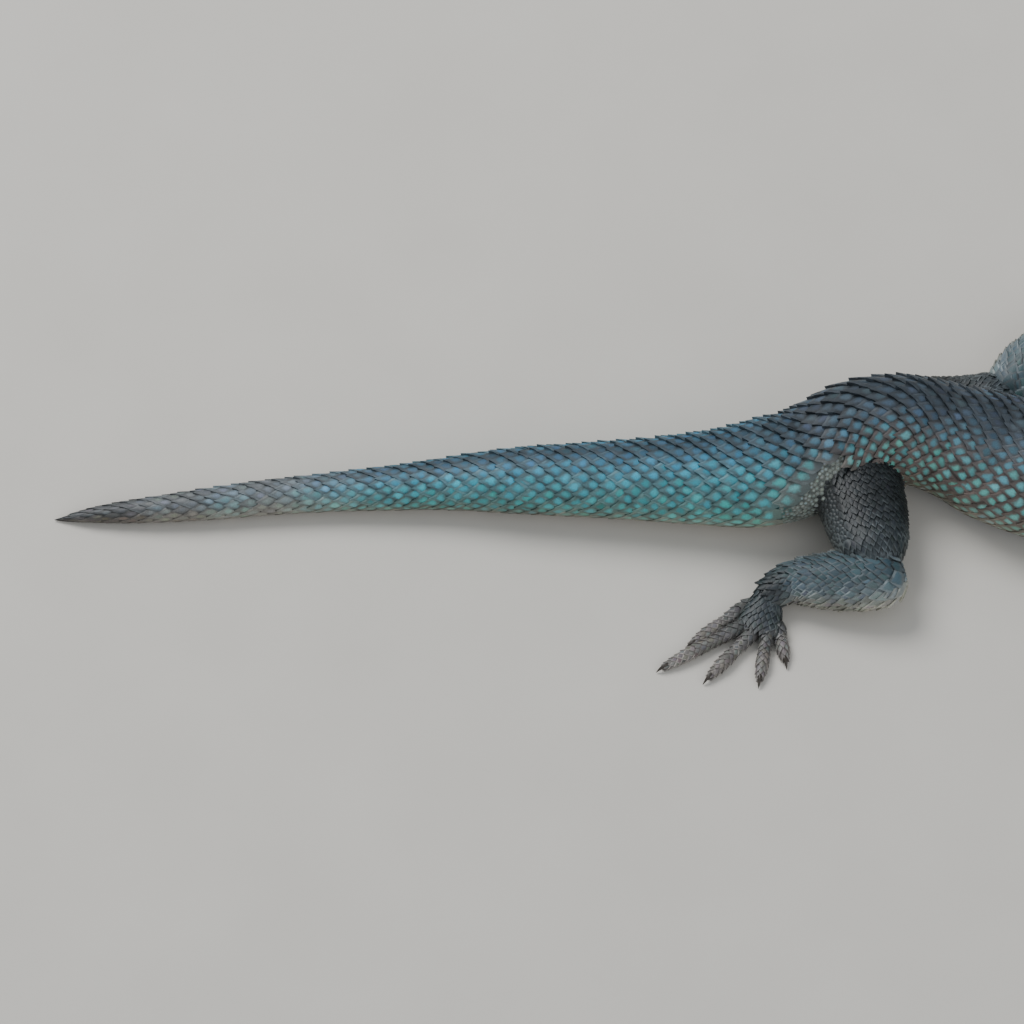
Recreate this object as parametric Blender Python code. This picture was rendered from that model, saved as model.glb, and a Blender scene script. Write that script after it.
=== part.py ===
"""Clark's spiny lizard, life size, at the end of a stride: belly and tail on the floor, head raised.

The head points along +X, the animal's left is +Y and the floor is Z = 0. The origin is the middle of the
flat on which the belly rests. Sizes are in millimetres until a mesh is made. A station is a length along the
spine from the snout tip, or along a limb from its root. Every scale tip points to larger stations.
"""

import math

import bmesh
import bpy
import numpy as np
from mathutils import Vector

MM = 0.001
GAP = 0.3
WAYS_ROUND = 2.0 * math.pi

# The length from the snout to the vent is 112 mm, and the tail adds 142 mm.
HEAD_END = 27.0

# The spine in plan, from the snout tip to the tail tip: x and y.
SPINE_PLAN = (
    (75.6, -2.8), (64.0, -5.2), (50.0, -6.8), (36.0, -6.8), (22.0, -4.8), (10.0, -1.6), (0.0, 1.9),
    (-8.0, 5.2), (-14.0, 6.9), (-19.5, 7.2), (-26.0, 6.0), (-31.5, 2.8), (-36.5, 0.3), (-42.0, -1.0),
    (-53.0, -1.9), (-93.0, -1.2), (-112.0, -1.8), (-131.0, -3.0), (-150.0, -5.0), (-160.0, -5.8),
    (-178.0, -6.8),
)

# Station, half width, height above the axis, depth below it, and the axis's own height above the floor.
TRUNK_SECTIONS = (
    (0.0, 2.0, 1.2, 2.0, 16.4),
    (12.0, 8.8, 7.0, 6.2, 17.3),
    (27.0, 10.0, 7.3, 7.4, 16.6),
    (33.0, 9.8, 7.5, 7.2, 15.7),
    (40.0, 11.2, 8.3, 8.2, 14.2),
    (50.0, 13.0, 9.3, 9.3, 12.0),
    (64.0, 13.6, 9.9, 9.7, 9.9),
    (78.0, 12.2, 9.7, 9.4, 8.8),
    (88.0, 10.3, 9.3, 8.8, 9.1),
    (99.0, 9.7, 9.3, 8.7, 10.2),
    (107.0, 9.6, 8.9, 8.5, 9.9),
    (114.0, 10.0, 8.5, 8.5, 9.0),
    (121.0, 10.3, 8.4, 8.6, 8.4),
    (127.0, 9.7, 8.0, 8.2, 7.9),
    (134.0, 8.7, 7.5, 7.6, 7.3),
    (150.0, 7.2, 6.6, 6.7, 6.4),
    (169.0, 6.0, 5.7, 5.7, 5.4),
    (188.0, 4.3, 4.2, 4.2, 3.95),
    (207.0, 3.4, 3.35, 3.35, 3.1),
    (226.0, 2.9, 2.85, 2.85, 2.65),
    (243.0, 2.0, 2.0, 2.0, 1.8),
    (250.0, 1.25, 1.25, 1.25, 1.1),
    (254.5, 0.4, 0.4, 0.4, 0.35),
)

# Node, first and last station, scales around, rows' pitch and the height of a scale's tip.
SPINE_NODES = (
    ("neck", 27.0, 38.0, 14, 3.7, 0.75),
    ("chest", 38.0, 64.0, 16, 4.2, 0.9),
    ("belly", 64.0, 94.0, 16, 4.2, 0.95),
    ("pelvis", 94.0, 114.0, 16, 4.1, 1.0),
    ("tail_1", 114.0, 138.0, 14, 3.8, 0.95),
    ("tail_2", 138.0, 164.0, 12, 3.7, 0.8),
    ("tail_3", 164.0, 192.0, 10, 3.5, 0.6),
    ("tail_4", 192.0, 222.0, 8, 3.7, 0.42),
    ("tail_5", 222.0, 254.0, 6, 4.0, 0.28),
)

# A tip reaches this share of a pitch past the row's end, and a notch stops as far short of it.
TIP_REACH = 0.27
NOTCH_HEIGHT = 0.22
STEP_RUN = 0.16
BELLY_RELIEF = 0.1

# Joints of the limbs. The right hind foot trails and the left one is ahead, and the fore feet do the reverse.
LIMBS = {
    "hind_right": {
        "upper": ((-25.2, 7.0, 9.8), (-25.8, -2.0, 9.0), (-24.2, -11.0, 8.2), (-21.8, -20.8, 7.2)),
        "lower": (
            (-16.9, -21.8, 6.9), (-22.0, -22.8, 6.3), (-30.5, -22.4, 5.2), (-37.6, -22.2, 4.3),
            (-41.8, -24.0, 3.6),
        ),
    },
    "hind_left": {
        "upper": ((-21.0, 8.4, 9.4), (-14.2, 11.4, 7.0), (-5.4, 13.6, 5.3), (3.8, 17.0, 5.1)),
        "lower": ((2.4, 15.2, 5.4), (5.2, 20.0, 5.2), (10.0, 27.0, 4.6), (15.0, 34.0, 3.6)),
    },
    "fore_right": {
        "upper": ((39.0, -6.6, 12.4), (38.6, -15.6, 11.6), (36.8, -23.2, 9.6), (34.6, -28.6, 7.8)),
        "lower": ((32.4, -27.6, 8.2), (36.4, -29.8, 6.9), (42.0, -31.4, 5.0), (48.0, -32.2, 3.2)),
    },
    "fore_left": {
        "upper": ((40.0, -5.6, 12.4), (38.0, 4.0, 11.2), (33.2, 11.4, 9.4), (28.6, 16.4, 8.2)),
        "lower": ((26.6, 14.8, 8.6), (27.6, 18.6, 7.2), (31.0, 23.8, 5.2), (35.0, 28.6, 3.2)),
    },
}

# For each limb part: share of its length, half width and half height.
HIND_UPPER_GIRTH = ((0.0, 7.9, 6.6), (0.3, 8.5, 6.2), (0.6, 8.0, 5.5), (0.85, 6.6, 5.0), (1.0, 3.8, 3.2))
HIND_LOWER_GIRTH = ((0.0, 2.6, 2.4), (0.14, 5.0, 4.5), (0.38, 5.6, 4.8), (0.7, 4.6, 3.9), (1.0, 2.9, 2.5))
FORE_UPPER_GIRTH = ((0.0, 5.0, 5.2), (0.3, 4.8, 4.5), (0.6, 4.3, 3.9), (0.85, 3.7, 3.5), (1.0, 2.2, 2.2))
FORE_LOWER_GIRTH = ((0.0, 1.8, 1.8), (0.16, 3.5, 3.3), (0.42, 3.7, 3.3), (0.7, 3.0, 2.6), (1.0, 2.3, 1.9))

# Each kind of limb: its nodes, scales around the upper and the lower part, pitch and height of the tips.
LIMB_SCALES = {
    "hind": (("thigh", "shank"), 9, 8, 3.3, 0.45),
    "fore": (("upper_arm", "forearm"), 8, 7, 3.0, 0.35),
}
# The stations of the trunk beside each kind of limb.
TRUNK_BESIDE = {"hind": (62.0, 132.0), "fore": (28.0, 72.0)}

# Each foot's heading in degrees from +X.
FOOT_HEADINGS = {"hind_right": -110.0, "hind_left": 52.0, "fore_right": -10.0, "fore_left": 30.0}
PALM_LENGTH = {"hind": 6.6, "fore": 5.4}
PALM_WIDTH = {"hind": 7.8, "fore": 6.6}
# Along the palm: share of its length, share of its width, height of its middle and half its thickness.
PALM_SECTIONS = ((0.34, 0.72, 3.0, 2.1), (0.66, 0.86, 2.4, 1.7), (1.0, 0.96, 1.9, 1.3))
PALM_SIDES = 10
# The foot meets the lower limb in a ring of this share of the limb's end.
ANKLE_SHARE = 0.96
# Each toe, from the inner to the outer: its turn inwards, its length, and how far its root lies in from the
# palm's middle and back from the palm's end.
TOES = {
    "hind": (
        (30.0, 6.8, 3.2, 1.8), (11.0, 10.2, 1.7, 0.6), (-22.0, 13.4, 0.0, 0.2), (-40.0, 18.0, -1.8, 0.7),
        (-33.0, 12.6, -3.4, 3.8),
    ),
    "fore": (
        (62.0, 5.6, 2.4, 2.4), (30.0, 8.0, 1.6, 0.7), (2.0, 9.6, 0.0, 0.3), (-28.0, 9.6, -1.6, 0.7),
        (-62.0, 7.0, -2.4, 2.2),
    ),
}
TOE_RADIUS = {"hind": 1.2, "fore": 1.1}
# Along a toe: share of its length, height above the floor and share of its radius.
TOE_SECTIONS = ((-0.14, 1.55, 1.05), (0.16, 1.75, 1.12), (0.42, 1.3, 0.95), (0.7, 1.4, 1.0), (1.0, 0.9, 0.68))
TOE_SIDES = 6
CLAW_LENGTH = 2.4
# Along a claw: share of its length, height above the floor and radius. A claw is deeper than it is wide.
CLAW_SECTIONS = ((-0.4, 1.0, 0.6), (0.25, 1.4, 0.6), (0.7, 0.95, 0.36), (1.0, 0.3, 0.1))
CLAW_SIDES = 5
CLAW_DEPTH = 1.25

# Head: station, crown half width, greatest half width, crown height, mouth level and throat depth.
HEAD_SECTIONS = (
    (0.0, 1.5, 2.1, 1.3, -0.7, -2.1),
    (0.9, 2.2, 3.5, 2.2, -0.9, -3.0),
    (2.4, 3.0, 4.8, 3.2, -1.2, -3.8),
    (4.6, 3.9, 6.1, 4.4, -1.6, -4.6),
    (7.4, 4.9, 7.3, 5.6, -2.0, -5.3),
    (10.0, 6.3, 8.3, 6.6, -2.3, -5.9),
    (13.0, 7.5, 9.2, 7.3, -2.4, -6.4),
    (16.0, 7.7, 10.1, 7.5, -2.1, -6.9),
    (19.0, 7.5, 10.9, 7.5, -1.6, -7.2),
    (22.0, 7.2, 11.2, 7.4, -1.3, -7.4),
    (25.0, 7.0, 10.7, 7.3, -1.2, -7.4),
    (27.0, 6.9, 10.1, 7.3, -1.2, -7.4),
)
MOUTH_CORNER = 17.6
LIP_HALF_HEIGHT = 0.32
LIP_GROOVE = 0.55

EYE_STATION = 12.4
EYE_ACROSS = 6.75
EYE_ABOVE = 2.9
EYE_RADIUS = 2.9
NOSTRIL = (2.3, 3.25, 1.7)
NOSTRIL_RADII = (0.55, 0.6, 0.45)
EAR = (24.2, 11.2, 0.4)
EAR_RADII = (1.15, 1.5, 2.0)

# The lids' reach past the eye at its corners, how far each stays within the eye's height, and their radii.
LID_REACH = {"upper": 0.5, "lower": 0.15}
LID_INSET = {"upper": 0.5, "lower": 0.9}
LID_RADIUS = {"upper": 0.36, "lower": 0.44}
LID_SWELL = 0.5
LID_OUT = 1.3

# The brow's overlapping scales: their count, pitch, length and radii.
BROW_SCALES = 4
BROW_START = -3.0
BROW_PITCH = 1.75
BROW_LENGTH = 2.3
BROW_RADII = (0.62, 0.72, 0.3)
# The scales ahead of the ear: their count, pitch, length and radii.
EAR_SCALES = 4
EAR_SCALE_PITCH = 1.1
EAR_SCALE_LENGTH = 2.2
EAR_SCALE_RADII = (0.55, 0.5, 0.12)

# Crown shields as named shapes: station, distance across from the middle, half length and half width.
MIDDLE_SHIELDS = (
    ("rostral_shield", 1.9, 0.0, 0.8, 1.5),
    ("internasal_shield", 4.0, 0.0, 1.1, 1.1),
    ("prefrontal_shield", 6.6, 0.0, 1.25, 1.5),
    ("frontal_shield", 9.5, 0.0, 1.45, 1.8),
    ("rear_frontal_shield", 12.4, 0.0, 1.25, 1.7),
    ("interparietal_shield", 18.0, 0.0, 2.3, 2.5),
)
PAIRED_SHIELDS = (
    ("nasal_shield", 3.6, 2.25, 1.1, 0.85),
    ("canthal_shield", 6.1, 3.1, 1.2, 1.2),
    ("loreal_shield", 8.6, 4.0, 1.15, 1.6),
    ("brow_shield_1", 10.7, 3.9, 0.85, 1.7),
    ("brow_shield_2", 12.6, 4.5, 0.85, 2.2),
    ("brow_shield_3", 14.5, 4.6, 0.85, 2.3),
    ("brow_shield_4", 16.3, 5.2, 0.75, 1.7),
    ("frontoparietal_shield", 14.7, 1.1, 0.85, 0.95),
    ("parietal_shield", 18.6, 4.5, 1.4, 1.7),
    ("rear_parietal_shield", 21.6, 3.1, 1.2, 1.8),
    ("temple_shield", 21.6, 6.2, 1.2, 1.1),
)
SHIELD_RISE = 0.32
SHIELD_ROOT = 0.7

SKIN_COLOURS = {
    "dorsal_skin": (0.115, 0.150, 0.165, 0.55),
    "tail_skin": (0.095, 0.300, 0.330, 0.45),
    "limb_skin": (0.125, 0.145, 0.150, 0.60),
    "head_skin": (0.150, 0.150, 0.130, 0.50),
    "eye": (0.020, 0.014, 0.010, 0.08),
}


def clear_scene():
    for old in list(bpy.data.objects):
        bpy.data.objects.remove(old)


def make_material(name):
    red, green, blue, roughness = SKIN_COLOURS[name]
    material = bpy.data.materials.new(name)
    material.use_nodes = True
    shader = material.node_tree.nodes["Principled BSDF"]
    shader.inputs["Base Color"].default_value = (red, green, blue, 1.0)
    shader.inputs["Roughness"].default_value = roughness
    shader.inputs["Metallic"].default_value = 0.0
    return material


def smooth_step(x):
    x = np.clip(x, 0.0, 1.0)
    return x * x * (3.0 - 2.0 * x)


def smooth_table(rows, column):
    """A function that runs smoothly, without overshoot, through one column of rows of rising stations."""
    xs = np.array([row[0] for row in rows], float)
    ys = np.array([row[column] for row in rows], float)
    slopes = np.diff(ys) / np.diff(xs)
    tangents = np.zeros(len(xs))
    same_way = slopes[:-1] * slopes[1:] > 0
    tangents[1:-1][same_way] = 2.0 / (1.0 / slopes[:-1][same_way] + 1.0 / slopes[1:][same_way])
    tangents[0] = slopes[0]
    tangents[-1] = slopes[-1]

    def value(x):
        x = np.clip(np.asarray(x, float), xs[0], xs[-1])
        k = np.clip(np.searchsorted(xs, x) - 1, 0, len(xs) - 2)
        width = xs[k + 1] - xs[k]
        t = (x - xs[k]) / width
        rise = (2 * t**3 - 3 * t**2 + 1) * ys[k] + (3 * t**2 - 2 * t**3) * ys[k + 1]
        return rise + width * ((t**3 - 2 * t**2 + t) * tangents[k] + (t**3 - t**2) * tangents[k + 1])

    return value


def spline_points(knots, steps):
    """Points of a Catmull-Rom curve through the knots."""
    knots = np.array(knots, float)
    ends = np.vstack([2 * knots[0] - knots[1], knots, 2 * knots[-1] - knots[-2]])
    points = []
    for i in range(1, len(ends) - 2):
        before, here, there, after = ends[i - 1], ends[i], ends[i + 1], ends[i + 2]
        for t in np.arange(steps) / steps:
            pull = 3 * here - before - 3 * there + after
            bend = 2 * before - 5 * here + 4 * there - after
            points.append(0.5 * (2 * here + (there - before) * t + bend * t**2 + pull * t**3))
    points.append(ends[-2])
    return np.array(points)


class Path:
    """A smooth line in space, read by its length from its start."""

    def __init__(self, points):
        self.points = points
        steps = np.linalg.norm(np.diff(points, axis=0), axis=1)
        self.stations = np.concatenate([[0.0], np.cumsum(steps)])
        self.length = self.stations[-1]

    def at(self, station):
        return np.stack([np.interp(station, self.stations, self.points[:, k]) for k in range(3)], axis=-1)

    def frame(self, station, reach=1.2):
        """The unit vectors along the line, to its side and upwards, at each station."""
        station = np.asarray(station, float)
        along = self.at(np.minimum(station + reach, self.length)) - self.at(np.maximum(station - reach, 0.0))
        along /= np.linalg.norm(along, axis=-1, keepdims=True)
        side = np.cross((0.0, 0.0, 1.0), along)
        side /= np.linalg.norm(side, axis=-1, keepdims=True)
        return along, side, np.cross(along, side)


def spine_path():
    """The spine, whose height comes from the trunk's sections."""
    plan = spline_points(SPINE_PLAN, 24)
    flat = np.concatenate([[0.0], np.cumsum(np.linalg.norm(np.diff(plan, axis=0), axis=1))])
    height = smooth_table(TRUNK_SECTIONS, 4)(flat)
    return Path(np.column_stack([plan, height]))


class Tube:
    """A path with a girth: an oval section whose upper and lower halves may differ."""

    def __init__(self, path, width, above, below, squareness=2.15):
        self.path = path
        self.width = width
        self.above = above
        self.below = below
        self.power = 2.0 / squareness

    def surface(self, station, angle, height):
        """Points at these stations and angles from the top, raised by height along the section's normal."""
        centre = self.path.at(station)
        _, side, up = self.path.frame(station)
        sine, cosine = np.sin(angle), np.cos(angle)
        half_width = self.width(station)
        half_height = np.where(cosine > 0, self.above(station), self.below(station))
        across = half_width * np.sign(sine) * np.abs(sine) ** self.power
        rise = half_height * np.sign(cosine) * np.abs(cosine) ** self.power
        normal = np.stack([across / half_width**2, rise / half_height**2], axis=-1)
        normal /= np.linalg.norm(normal, axis=-1, keepdims=True)
        across = across + normal[..., 0] * height
        rise = rise + normal[..., 1] * height
        return centre + side * across[..., None] + up * rise[..., None]

    def clearance(self, points):
        """How far points lie outside the tube, measured from its centre line."""
        stations = np.linspace(0.0, self.path.length, 60)
        centres = self.path.at(stations)
        girth = np.maximum(self.width(stations), self.above(stations))
        return (np.linalg.norm(points[:, None] - centres[None], axis=2) - girth[None]).min(axis=1)


def limb_tube(knots, girth):
    path = Path(spline_points(knots, 16))
    width, height = smooth_table(girth, 1), smooth_table(girth, 2)

    def half_width(station):
        return width(station / path.length)

    def half_height(station):
        return height(station / path.length)

    return Tube(path, half_width, half_height, half_height, 2.0)


def new_object(name, bm, material):
    """The finished bmesh, in millimetres until here, as one object of the scene."""
    bmesh.ops.recalc_face_normals(bm, faces=bm.faces)
    bmesh.ops.scale(bm, vec=(MM, MM, MM), verts=bm.verts)
    mesh = bpy.data.meshes.new(name)
    bm.to_mesh(mesh)
    bm.free()
    if material is not None:
        mesh.materials.append(material)
    mesh.shade_flat()
    obj = bpy.data.objects.new(name, mesh)
    bpy.context.scene.collection.objects.link(obj)
    return obj


def loft(rings):
    """A closed bmesh through rings of equal size. Each end is a fan around the middle of its ring."""
    bm = bmesh.new()
    loops = [[bm.verts.new(Vector(point)) for point in ring] for ring in rings]
    count = len(rings[0])
    for k, (first, second) in enumerate(zip(loops, loops[1:])):
        for j in range(count):
            n = (j + 1) % count
            # The longer diagonal is left out where it would dent a scale: the even rings start at their tips.
            if (j + k // 2) % 2:
                bm.faces.new((first[j], second[j], first[n]))
                bm.faces.new((second[j], second[n], first[n]))
            else:
                bm.faces.new((first[j], second[j], second[n]))
                bm.faces.new((first[j], second[n], first[n]))
    for loop, turned in ((loops[0], False), (loops[-1], True)):
        centre = bm.verts.new(sum((v.co for v in loop), Vector()) / count)
        for j in range(count):
            n = (j + 1) % count
            corners = (loop[n], loop[j], centre) if turned else (loop[j], loop[n], centre)
            bm.faces.new(corners)
    return bm


def scaled_rings(tube, start, end, around, pitch, tip_height, mask=None):
    """Rings of a stretch of tube that is clad in rows of overlapping, keeled and pointed scales.

    Each row of scales is two rings: its base, tucked behind the row before, and its hem of tips and notches.
    """
    rows = max(1, round((end - start) / pitch))
    length = (end - start) / rows
    angle = WAYS_ROUND * np.arange(2 * around) / (2 * around)
    side_share = smooth_step((np.cos(angle) + 0.85) / 0.5)
    strength = BELLY_RELIEF + (1.0 - BELLY_RELIEF) * side_share
    reach = TIP_REACH * length * (0.35 + 0.65 * side_share)

    def ring(station, height):
        if mask is not None:
            height = height * mask(tube.surface(station, angle, np.zeros(2 * around)))
        points = tube.surface(station, angle, height)
        points[:, 2] = np.maximum(points[:, 2], 0.0)
        return points

    flat = np.zeros(2 * around)
    rings = [ring(flat + start, flat)]
    for row in range(rows):
        is_tip = (np.arange(2 * around) + row) % 2 == 0
        height = np.where(is_tip, tip_height, tip_height * NOTCH_HEIGHT) * strength
        hem = flat + start + (row + 1) * length
        if row == rows - 1:
            rings.append(ring(hem, height))
            break
        hem = hem + np.where(is_tip, reach, -reach)
        rings.append(ring(hem, height))
        rings.append(ring(hem + STEP_RUN, flat))
    return rings


def boolean(obj, operation, others):
    """Joins others to obj, or cuts them from it, applies it and removes them."""
    operands = bpy.data.collections.new(obj.name + "_operands")
    bpy.context.scene.collection.children.link(operands)
    for other in others:
        bpy.context.scene.collection.objects.unlink(other)
        operands.objects.link(other)
    modifier = obj.modifiers.new(operation.lower(), "BOOLEAN")
    modifier.operation = operation
    modifier.operand_type = "COLLECTION"
    modifier.collection = operands
    modifier.solver = "EXACT"
    graph = bpy.context.evaluated_depsgraph_get()
    graph.update()
    made = bpy.data.meshes.new_from_object(obj.evaluated_get(graph))
    obj.modifiers.clear()
    obj.data = made
    for other in others:
        bpy.data.objects.remove(other)
    bpy.data.collections.remove(operands)
    keep_largest(obj)


def keep_largest(obj):
    """Leaves only the largest closed surface of an object."""
    bm = bmesh.new()
    bm.from_mesh(obj.data)
    bmesh.ops.remove_doubles(bm, verts=bm.verts, dist=2e-6)
    bmesh.ops.triangulate(bm, faces=bm.faces)
    unseen = set(bm.verts)
    shells = []
    while unseen:
        shell, front = set(), [unseen.pop()]
        while front:
            vertex = front.pop()
            shell.add(vertex)
            for edge in vertex.link_edges:
                other = edge.other_vert(vertex)
                if other in unseen:
                    unseen.discard(other)
                    front.append(other)
        shells.append(shell)
    largest = max(shells, key=len)
    bmesh.ops.delete(bm, geom=[v for v in bm.verts if v not in largest], context="VERTS")
    bm.to_mesh(obj.data)
    bm.free()


def ball(name, centre, radii, subdivisions=2, turn=None):
    """An icosphere stretched to three radii, as an object."""
    bm = bmesh.new()
    bmesh.ops.create_icosphere(bm, subdivisions=subdivisions, radius=1.0)
    bmesh.ops.scale(bm, vec=radii, verts=bm.verts)
    if turn is not None:
        bmesh.ops.rotate(bm, verts=bm.verts, matrix=turn)
    bmesh.ops.translate(bm, vec=Vector(centre), verts=bm.verts)
    return new_object(name, bm, None)


class Lizard:
    """The tubes that the nodes share, worked out once."""

    def __init__(self):
        spine = spine_path()
        self.trunk = Tube(
            spine,
            smooth_table(TRUNK_SECTIONS, 1),
            smooth_table(TRUNK_SECTIONS, 2),
            smooth_table(TRUNK_SECTIONS, 3),
        )
        self.limbs = {}
        for name, joints in LIMBS.items():
            hind = name.startswith("hind")
            upper = limb_tube(joints["upper"], HIND_UPPER_GIRTH if hind else FORE_UPPER_GIRTH)
            lower = limb_tube(joints["lower"], HIND_LOWER_GIRTH if hind else FORE_LOWER_GIRTH)
            self.limbs[name] = (upper, lower)
        self.materials = {name: make_material(name) for name in SKIN_COLOURS}

    def beside_limbs(self, points):
        """0 on the skin under or beside a limb, where scales lie flat, and 1 from 2 mm away."""
        nearest = np.full(len(points), 99.0)
        for upper, lower in self.limbs.values():
            for tube in (upper, lower):
                nearest = np.minimum(nearest, tube.clearance(points))
        return smooth_step((nearest - 0.8) / 1.3)

    def spine_node(self, name, start, end, around, pitch, tip_height):
        """One length of the neck, trunk or tail. It shares each gap with its neighbour, the head's aside."""
        first = start + (GAP if start == HEAD_END else 0.5 * GAP)
        last = end if end == SPINE_NODES[-1][2] else end - 0.5 * GAP
        rings = scaled_rings(self.trunk, first, last, around, pitch, tip_height, self.beside_limbs)
        skin = "tail_skin" if name.startswith("tail") else "dorsal_skin"
        return new_object(name, loft(rings), self.materials[skin])

    def limb_node(self, name, tube, around, pitch, tip_height, end):
        rings = scaled_rings(tube, 0.0, end, around, pitch, tip_height)
        return new_object(name, loft(rings), self.materials["limb_skin"])


def plain_cutter(tube, start, end, step, around, wider):
    """A stretch of tube without its scales, wider all round, to cut the root of the limb that meets it."""
    angle = WAYS_ROUND * np.arange(around) / around
    flat = np.zeros(around)
    rings = [tube.surface(flat + station, angle, flat + wider) for station in np.arange(start, end, step)]
    cutter = new_object("cutter", loft(rings), None)
    cutter.hide_render = True
    cutter.display_type = "WIRE"
    return cutter


def build_spine(lizard):
    return [lizard.spine_node(*row) for row in SPINE_NODES]


def build_limb(lizard, name):
    """The upper and lower parts of one limb. The upper one is cut clear of the trunk and the lower part."""
    upper, lower = lizard.limbs[name]
    kind, side = name.split("_")
    words, around, low_around, pitch, rise = LIMB_SCALES[kind]
    low_end = lower.path.length - 0.5 * GAP
    lizard.limb_node(f"{words[1]}_{side}", lower, low_around, pitch, rise, low_end)
    start, end = TRUNK_BESIDE[kind]
    cutters = [
        plain_cutter(lower, 0.0, lower.path.length, 2.6, 2 * low_around, rise + GAP),
        plain_cutter(lizard.trunk, start, end, 4.0, 28, 1.5 * GAP),
    ]
    node = lizard.limb_node(f"{words[0]}_{side}", upper, around, pitch, rise, upper.path.length)
    boolean(node, "DIFFERENCE", cutters)


def tapered_rod(points, radii, sides, flatten=1.0):
    """A rod through points with a radius at each, whose sole is cut flat on the floor."""
    path = Path(np.array(points, float))
    stations = path.stations
    _, side, up = path.frame(stations, 0.6)
    angle = WAYS_ROUND * (np.arange(sides) + 0.5) / sides
    rings = []
    for k, radius in enumerate(radii):
        spread = side[k] * np.sin(angle)[:, None] + up[k] * (flatten * np.cos(angle))[:, None]
        ring = path.points[k] + radius * spread
        ring[:, 2] = np.maximum(ring[:, 2], 0.0)
        rings.append(ring)
    return loft(rings)


def toe(name, root, tip, radius):
    """A toe that leaves the palm, rises over its joints and comes down behind the claw."""
    shares, heights, girths = np.array(TOE_SECTIONS).T
    points = np.column_stack([root + np.outer(shares, tip - root), heights])
    return new_object(name, tapered_rod(points, radius * girths, TOE_SIDES), None)


def claw(name, end, heading):
    """A claw that rises from the toe's end and curves down to its point on the floor."""
    shares, heights, radii = np.array(CLAW_SECTIONS).T
    points = np.column_stack([end + np.outer(shares * CLAW_LENGTH, heading), heights])
    return new_object(name, tapered_rod(points, radii, CLAW_SIDES, CLAW_DEPTH), None)


def palm_rings(lower, ahead, inner, length, width):
    """The ankle and the palm, from the end of the lower limb to the roots of the toes."""
    end = lower.path.length
    along, side, _ = lower.path.frame(end)
    wrist = lower.path.at(end) + along * 0.5 * GAP
    across = np.array([*inner, 0.0]) * math.copysign(1.0, np.dot(inner, side[:2]))
    rings = [ankle_ring(lower, wrist, PALM_SIDES)]
    angle = WAYS_ROUND * np.arange(PALM_SIDES) / PALM_SIDES
    for share, spread, height, thick in PALM_SECTIONS:
        centre = np.array([*(wrist[:2] + ahead * length * share), height])
        ring = centre + 0.5 * width * spread * np.outer(np.sin(angle), across)
        ring[:, 2] = np.maximum(ring[:, 2] + thick * np.cos(angle), 0.0)
        rings.append(ring)
    return rings


def build_foot(lizard, limb):
    """A foot: its palm, five toes and their claws in one closed body, with flat soles on the floor."""
    kind, side = limb.split("_")
    lower = lizard.limbs[limb][1]
    heading = math.radians(FOOT_HEADINGS[limb])
    ahead = np.array([math.cos(heading), math.sin(heading)])
    # The inner toe of a right foot lies to the left of the heading.
    inner = np.array([-ahead[1], ahead[0]]) * (1.0 if side == "right" else -1.0)
    rings = palm_rings(lower, ahead, inner, PALM_LENGTH[kind], PALM_WIDTH[kind])
    palm_end = lower.path.at(lower.path.length)[:2] + ahead * PALM_LENGTH[kind]
    word = "foot" if kind == "hind" else "hand"
    node = new_object(f"{word}_{side}", loft(rings), lizard.materials["limb_skin"])
    pieces = []
    for k, (turn, length, aside, back) in enumerate(TOES[kind]):
        root = palm_end + inner * aside - ahead * back
        turn = math.radians(turn)
        toe_heading = ahead * math.cos(turn) + inner * math.sin(turn)
        tip = root + toe_heading * length
        pieces.append(toe(f"toe_{k}", root, tip, TOE_RADIUS[kind]))
        pieces.append(claw(f"claw_{k}", tip, toe_heading))
    boolean(node, "UNION", pieces)


def ankle_ring(lower, centre, count):
    """A ring a little smaller than the end of the lower limb, where the foot meets it."""
    _, side, up = lower.path.frame(lower.path.length)
    angle = WAYS_ROUND * np.arange(count) / count
    end = lower.path.length
    half_width, half_height = ANKLE_SHARE * lower.width(end), ANKLE_SHARE * lower.above(end)
    return centre + np.outer(half_width * np.sin(angle), side) + np.outer(half_height * np.cos(angle), up)


class Head:
    """The head's own sections, set on the spine's first stretch."""

    def __init__(self, spine):
        self.spine = spine
        self.columns = [smooth_table(HEAD_SECTIONS, k) for k in range(1, 6)]

    def half_section(self, station):
        """Points across and above the axis, from the crown's middle down the side to the throat's middle."""
        crown, widest, top, mouth, bottom = (float(column(station)) for column in self.columns)
        groove = LIP_GROOVE * float(smooth_step((MOUTH_CORNER - station) / 1.6))
        upper, lower = top - mouth, mouth - bottom
        spare = widest - crown
        return [
            (0.0, top),
            (0.5 * crown, top - 0.12),
            (0.93 * crown, top - 0.5),
            (crown + 0.22 * spare, top - 0.34 * upper),
            (crown + 0.66 * spare, top - 0.62 * upper),
            (0.985 * widest, mouth + max(0.14 * upper, LIP_HALF_HEIGHT + 0.14)),
            (0.985 * widest, mouth + LIP_HALF_HEIGHT),
            (0.975 * widest - groove, mouth),
            (0.965 * widest, mouth - LIP_HALF_HEIGHT),
            (0.95 * widest, mouth - max(0.34 * lower, LIP_HALF_HEIGHT + 0.14)),
            (0.80 * widest, bottom + 0.26 * lower),
            (0.46 * widest, bottom + 0.05 * lower),
            (0.0, bottom),
        ]

    def place(self, station, across, above):
        """A point of the head frame in the scene. Across is positive to the animal's right."""
        _, side, up = self.spine.frame(station)
        return self.spine.at(station) + side * across + up * above

    def ring(self, station):
        half = self.half_section(station)
        whole = half + [(-across, above) for across, above in half[-2:0:-1]]
        return [self.place(station, across, above) for across, above in whole]

    def crown_height(self, station, across):
        half = self.half_section(station)[:4]
        return float(np.interp(abs(across), [p[0] for p in half], [p[1] for p in half]))


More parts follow.
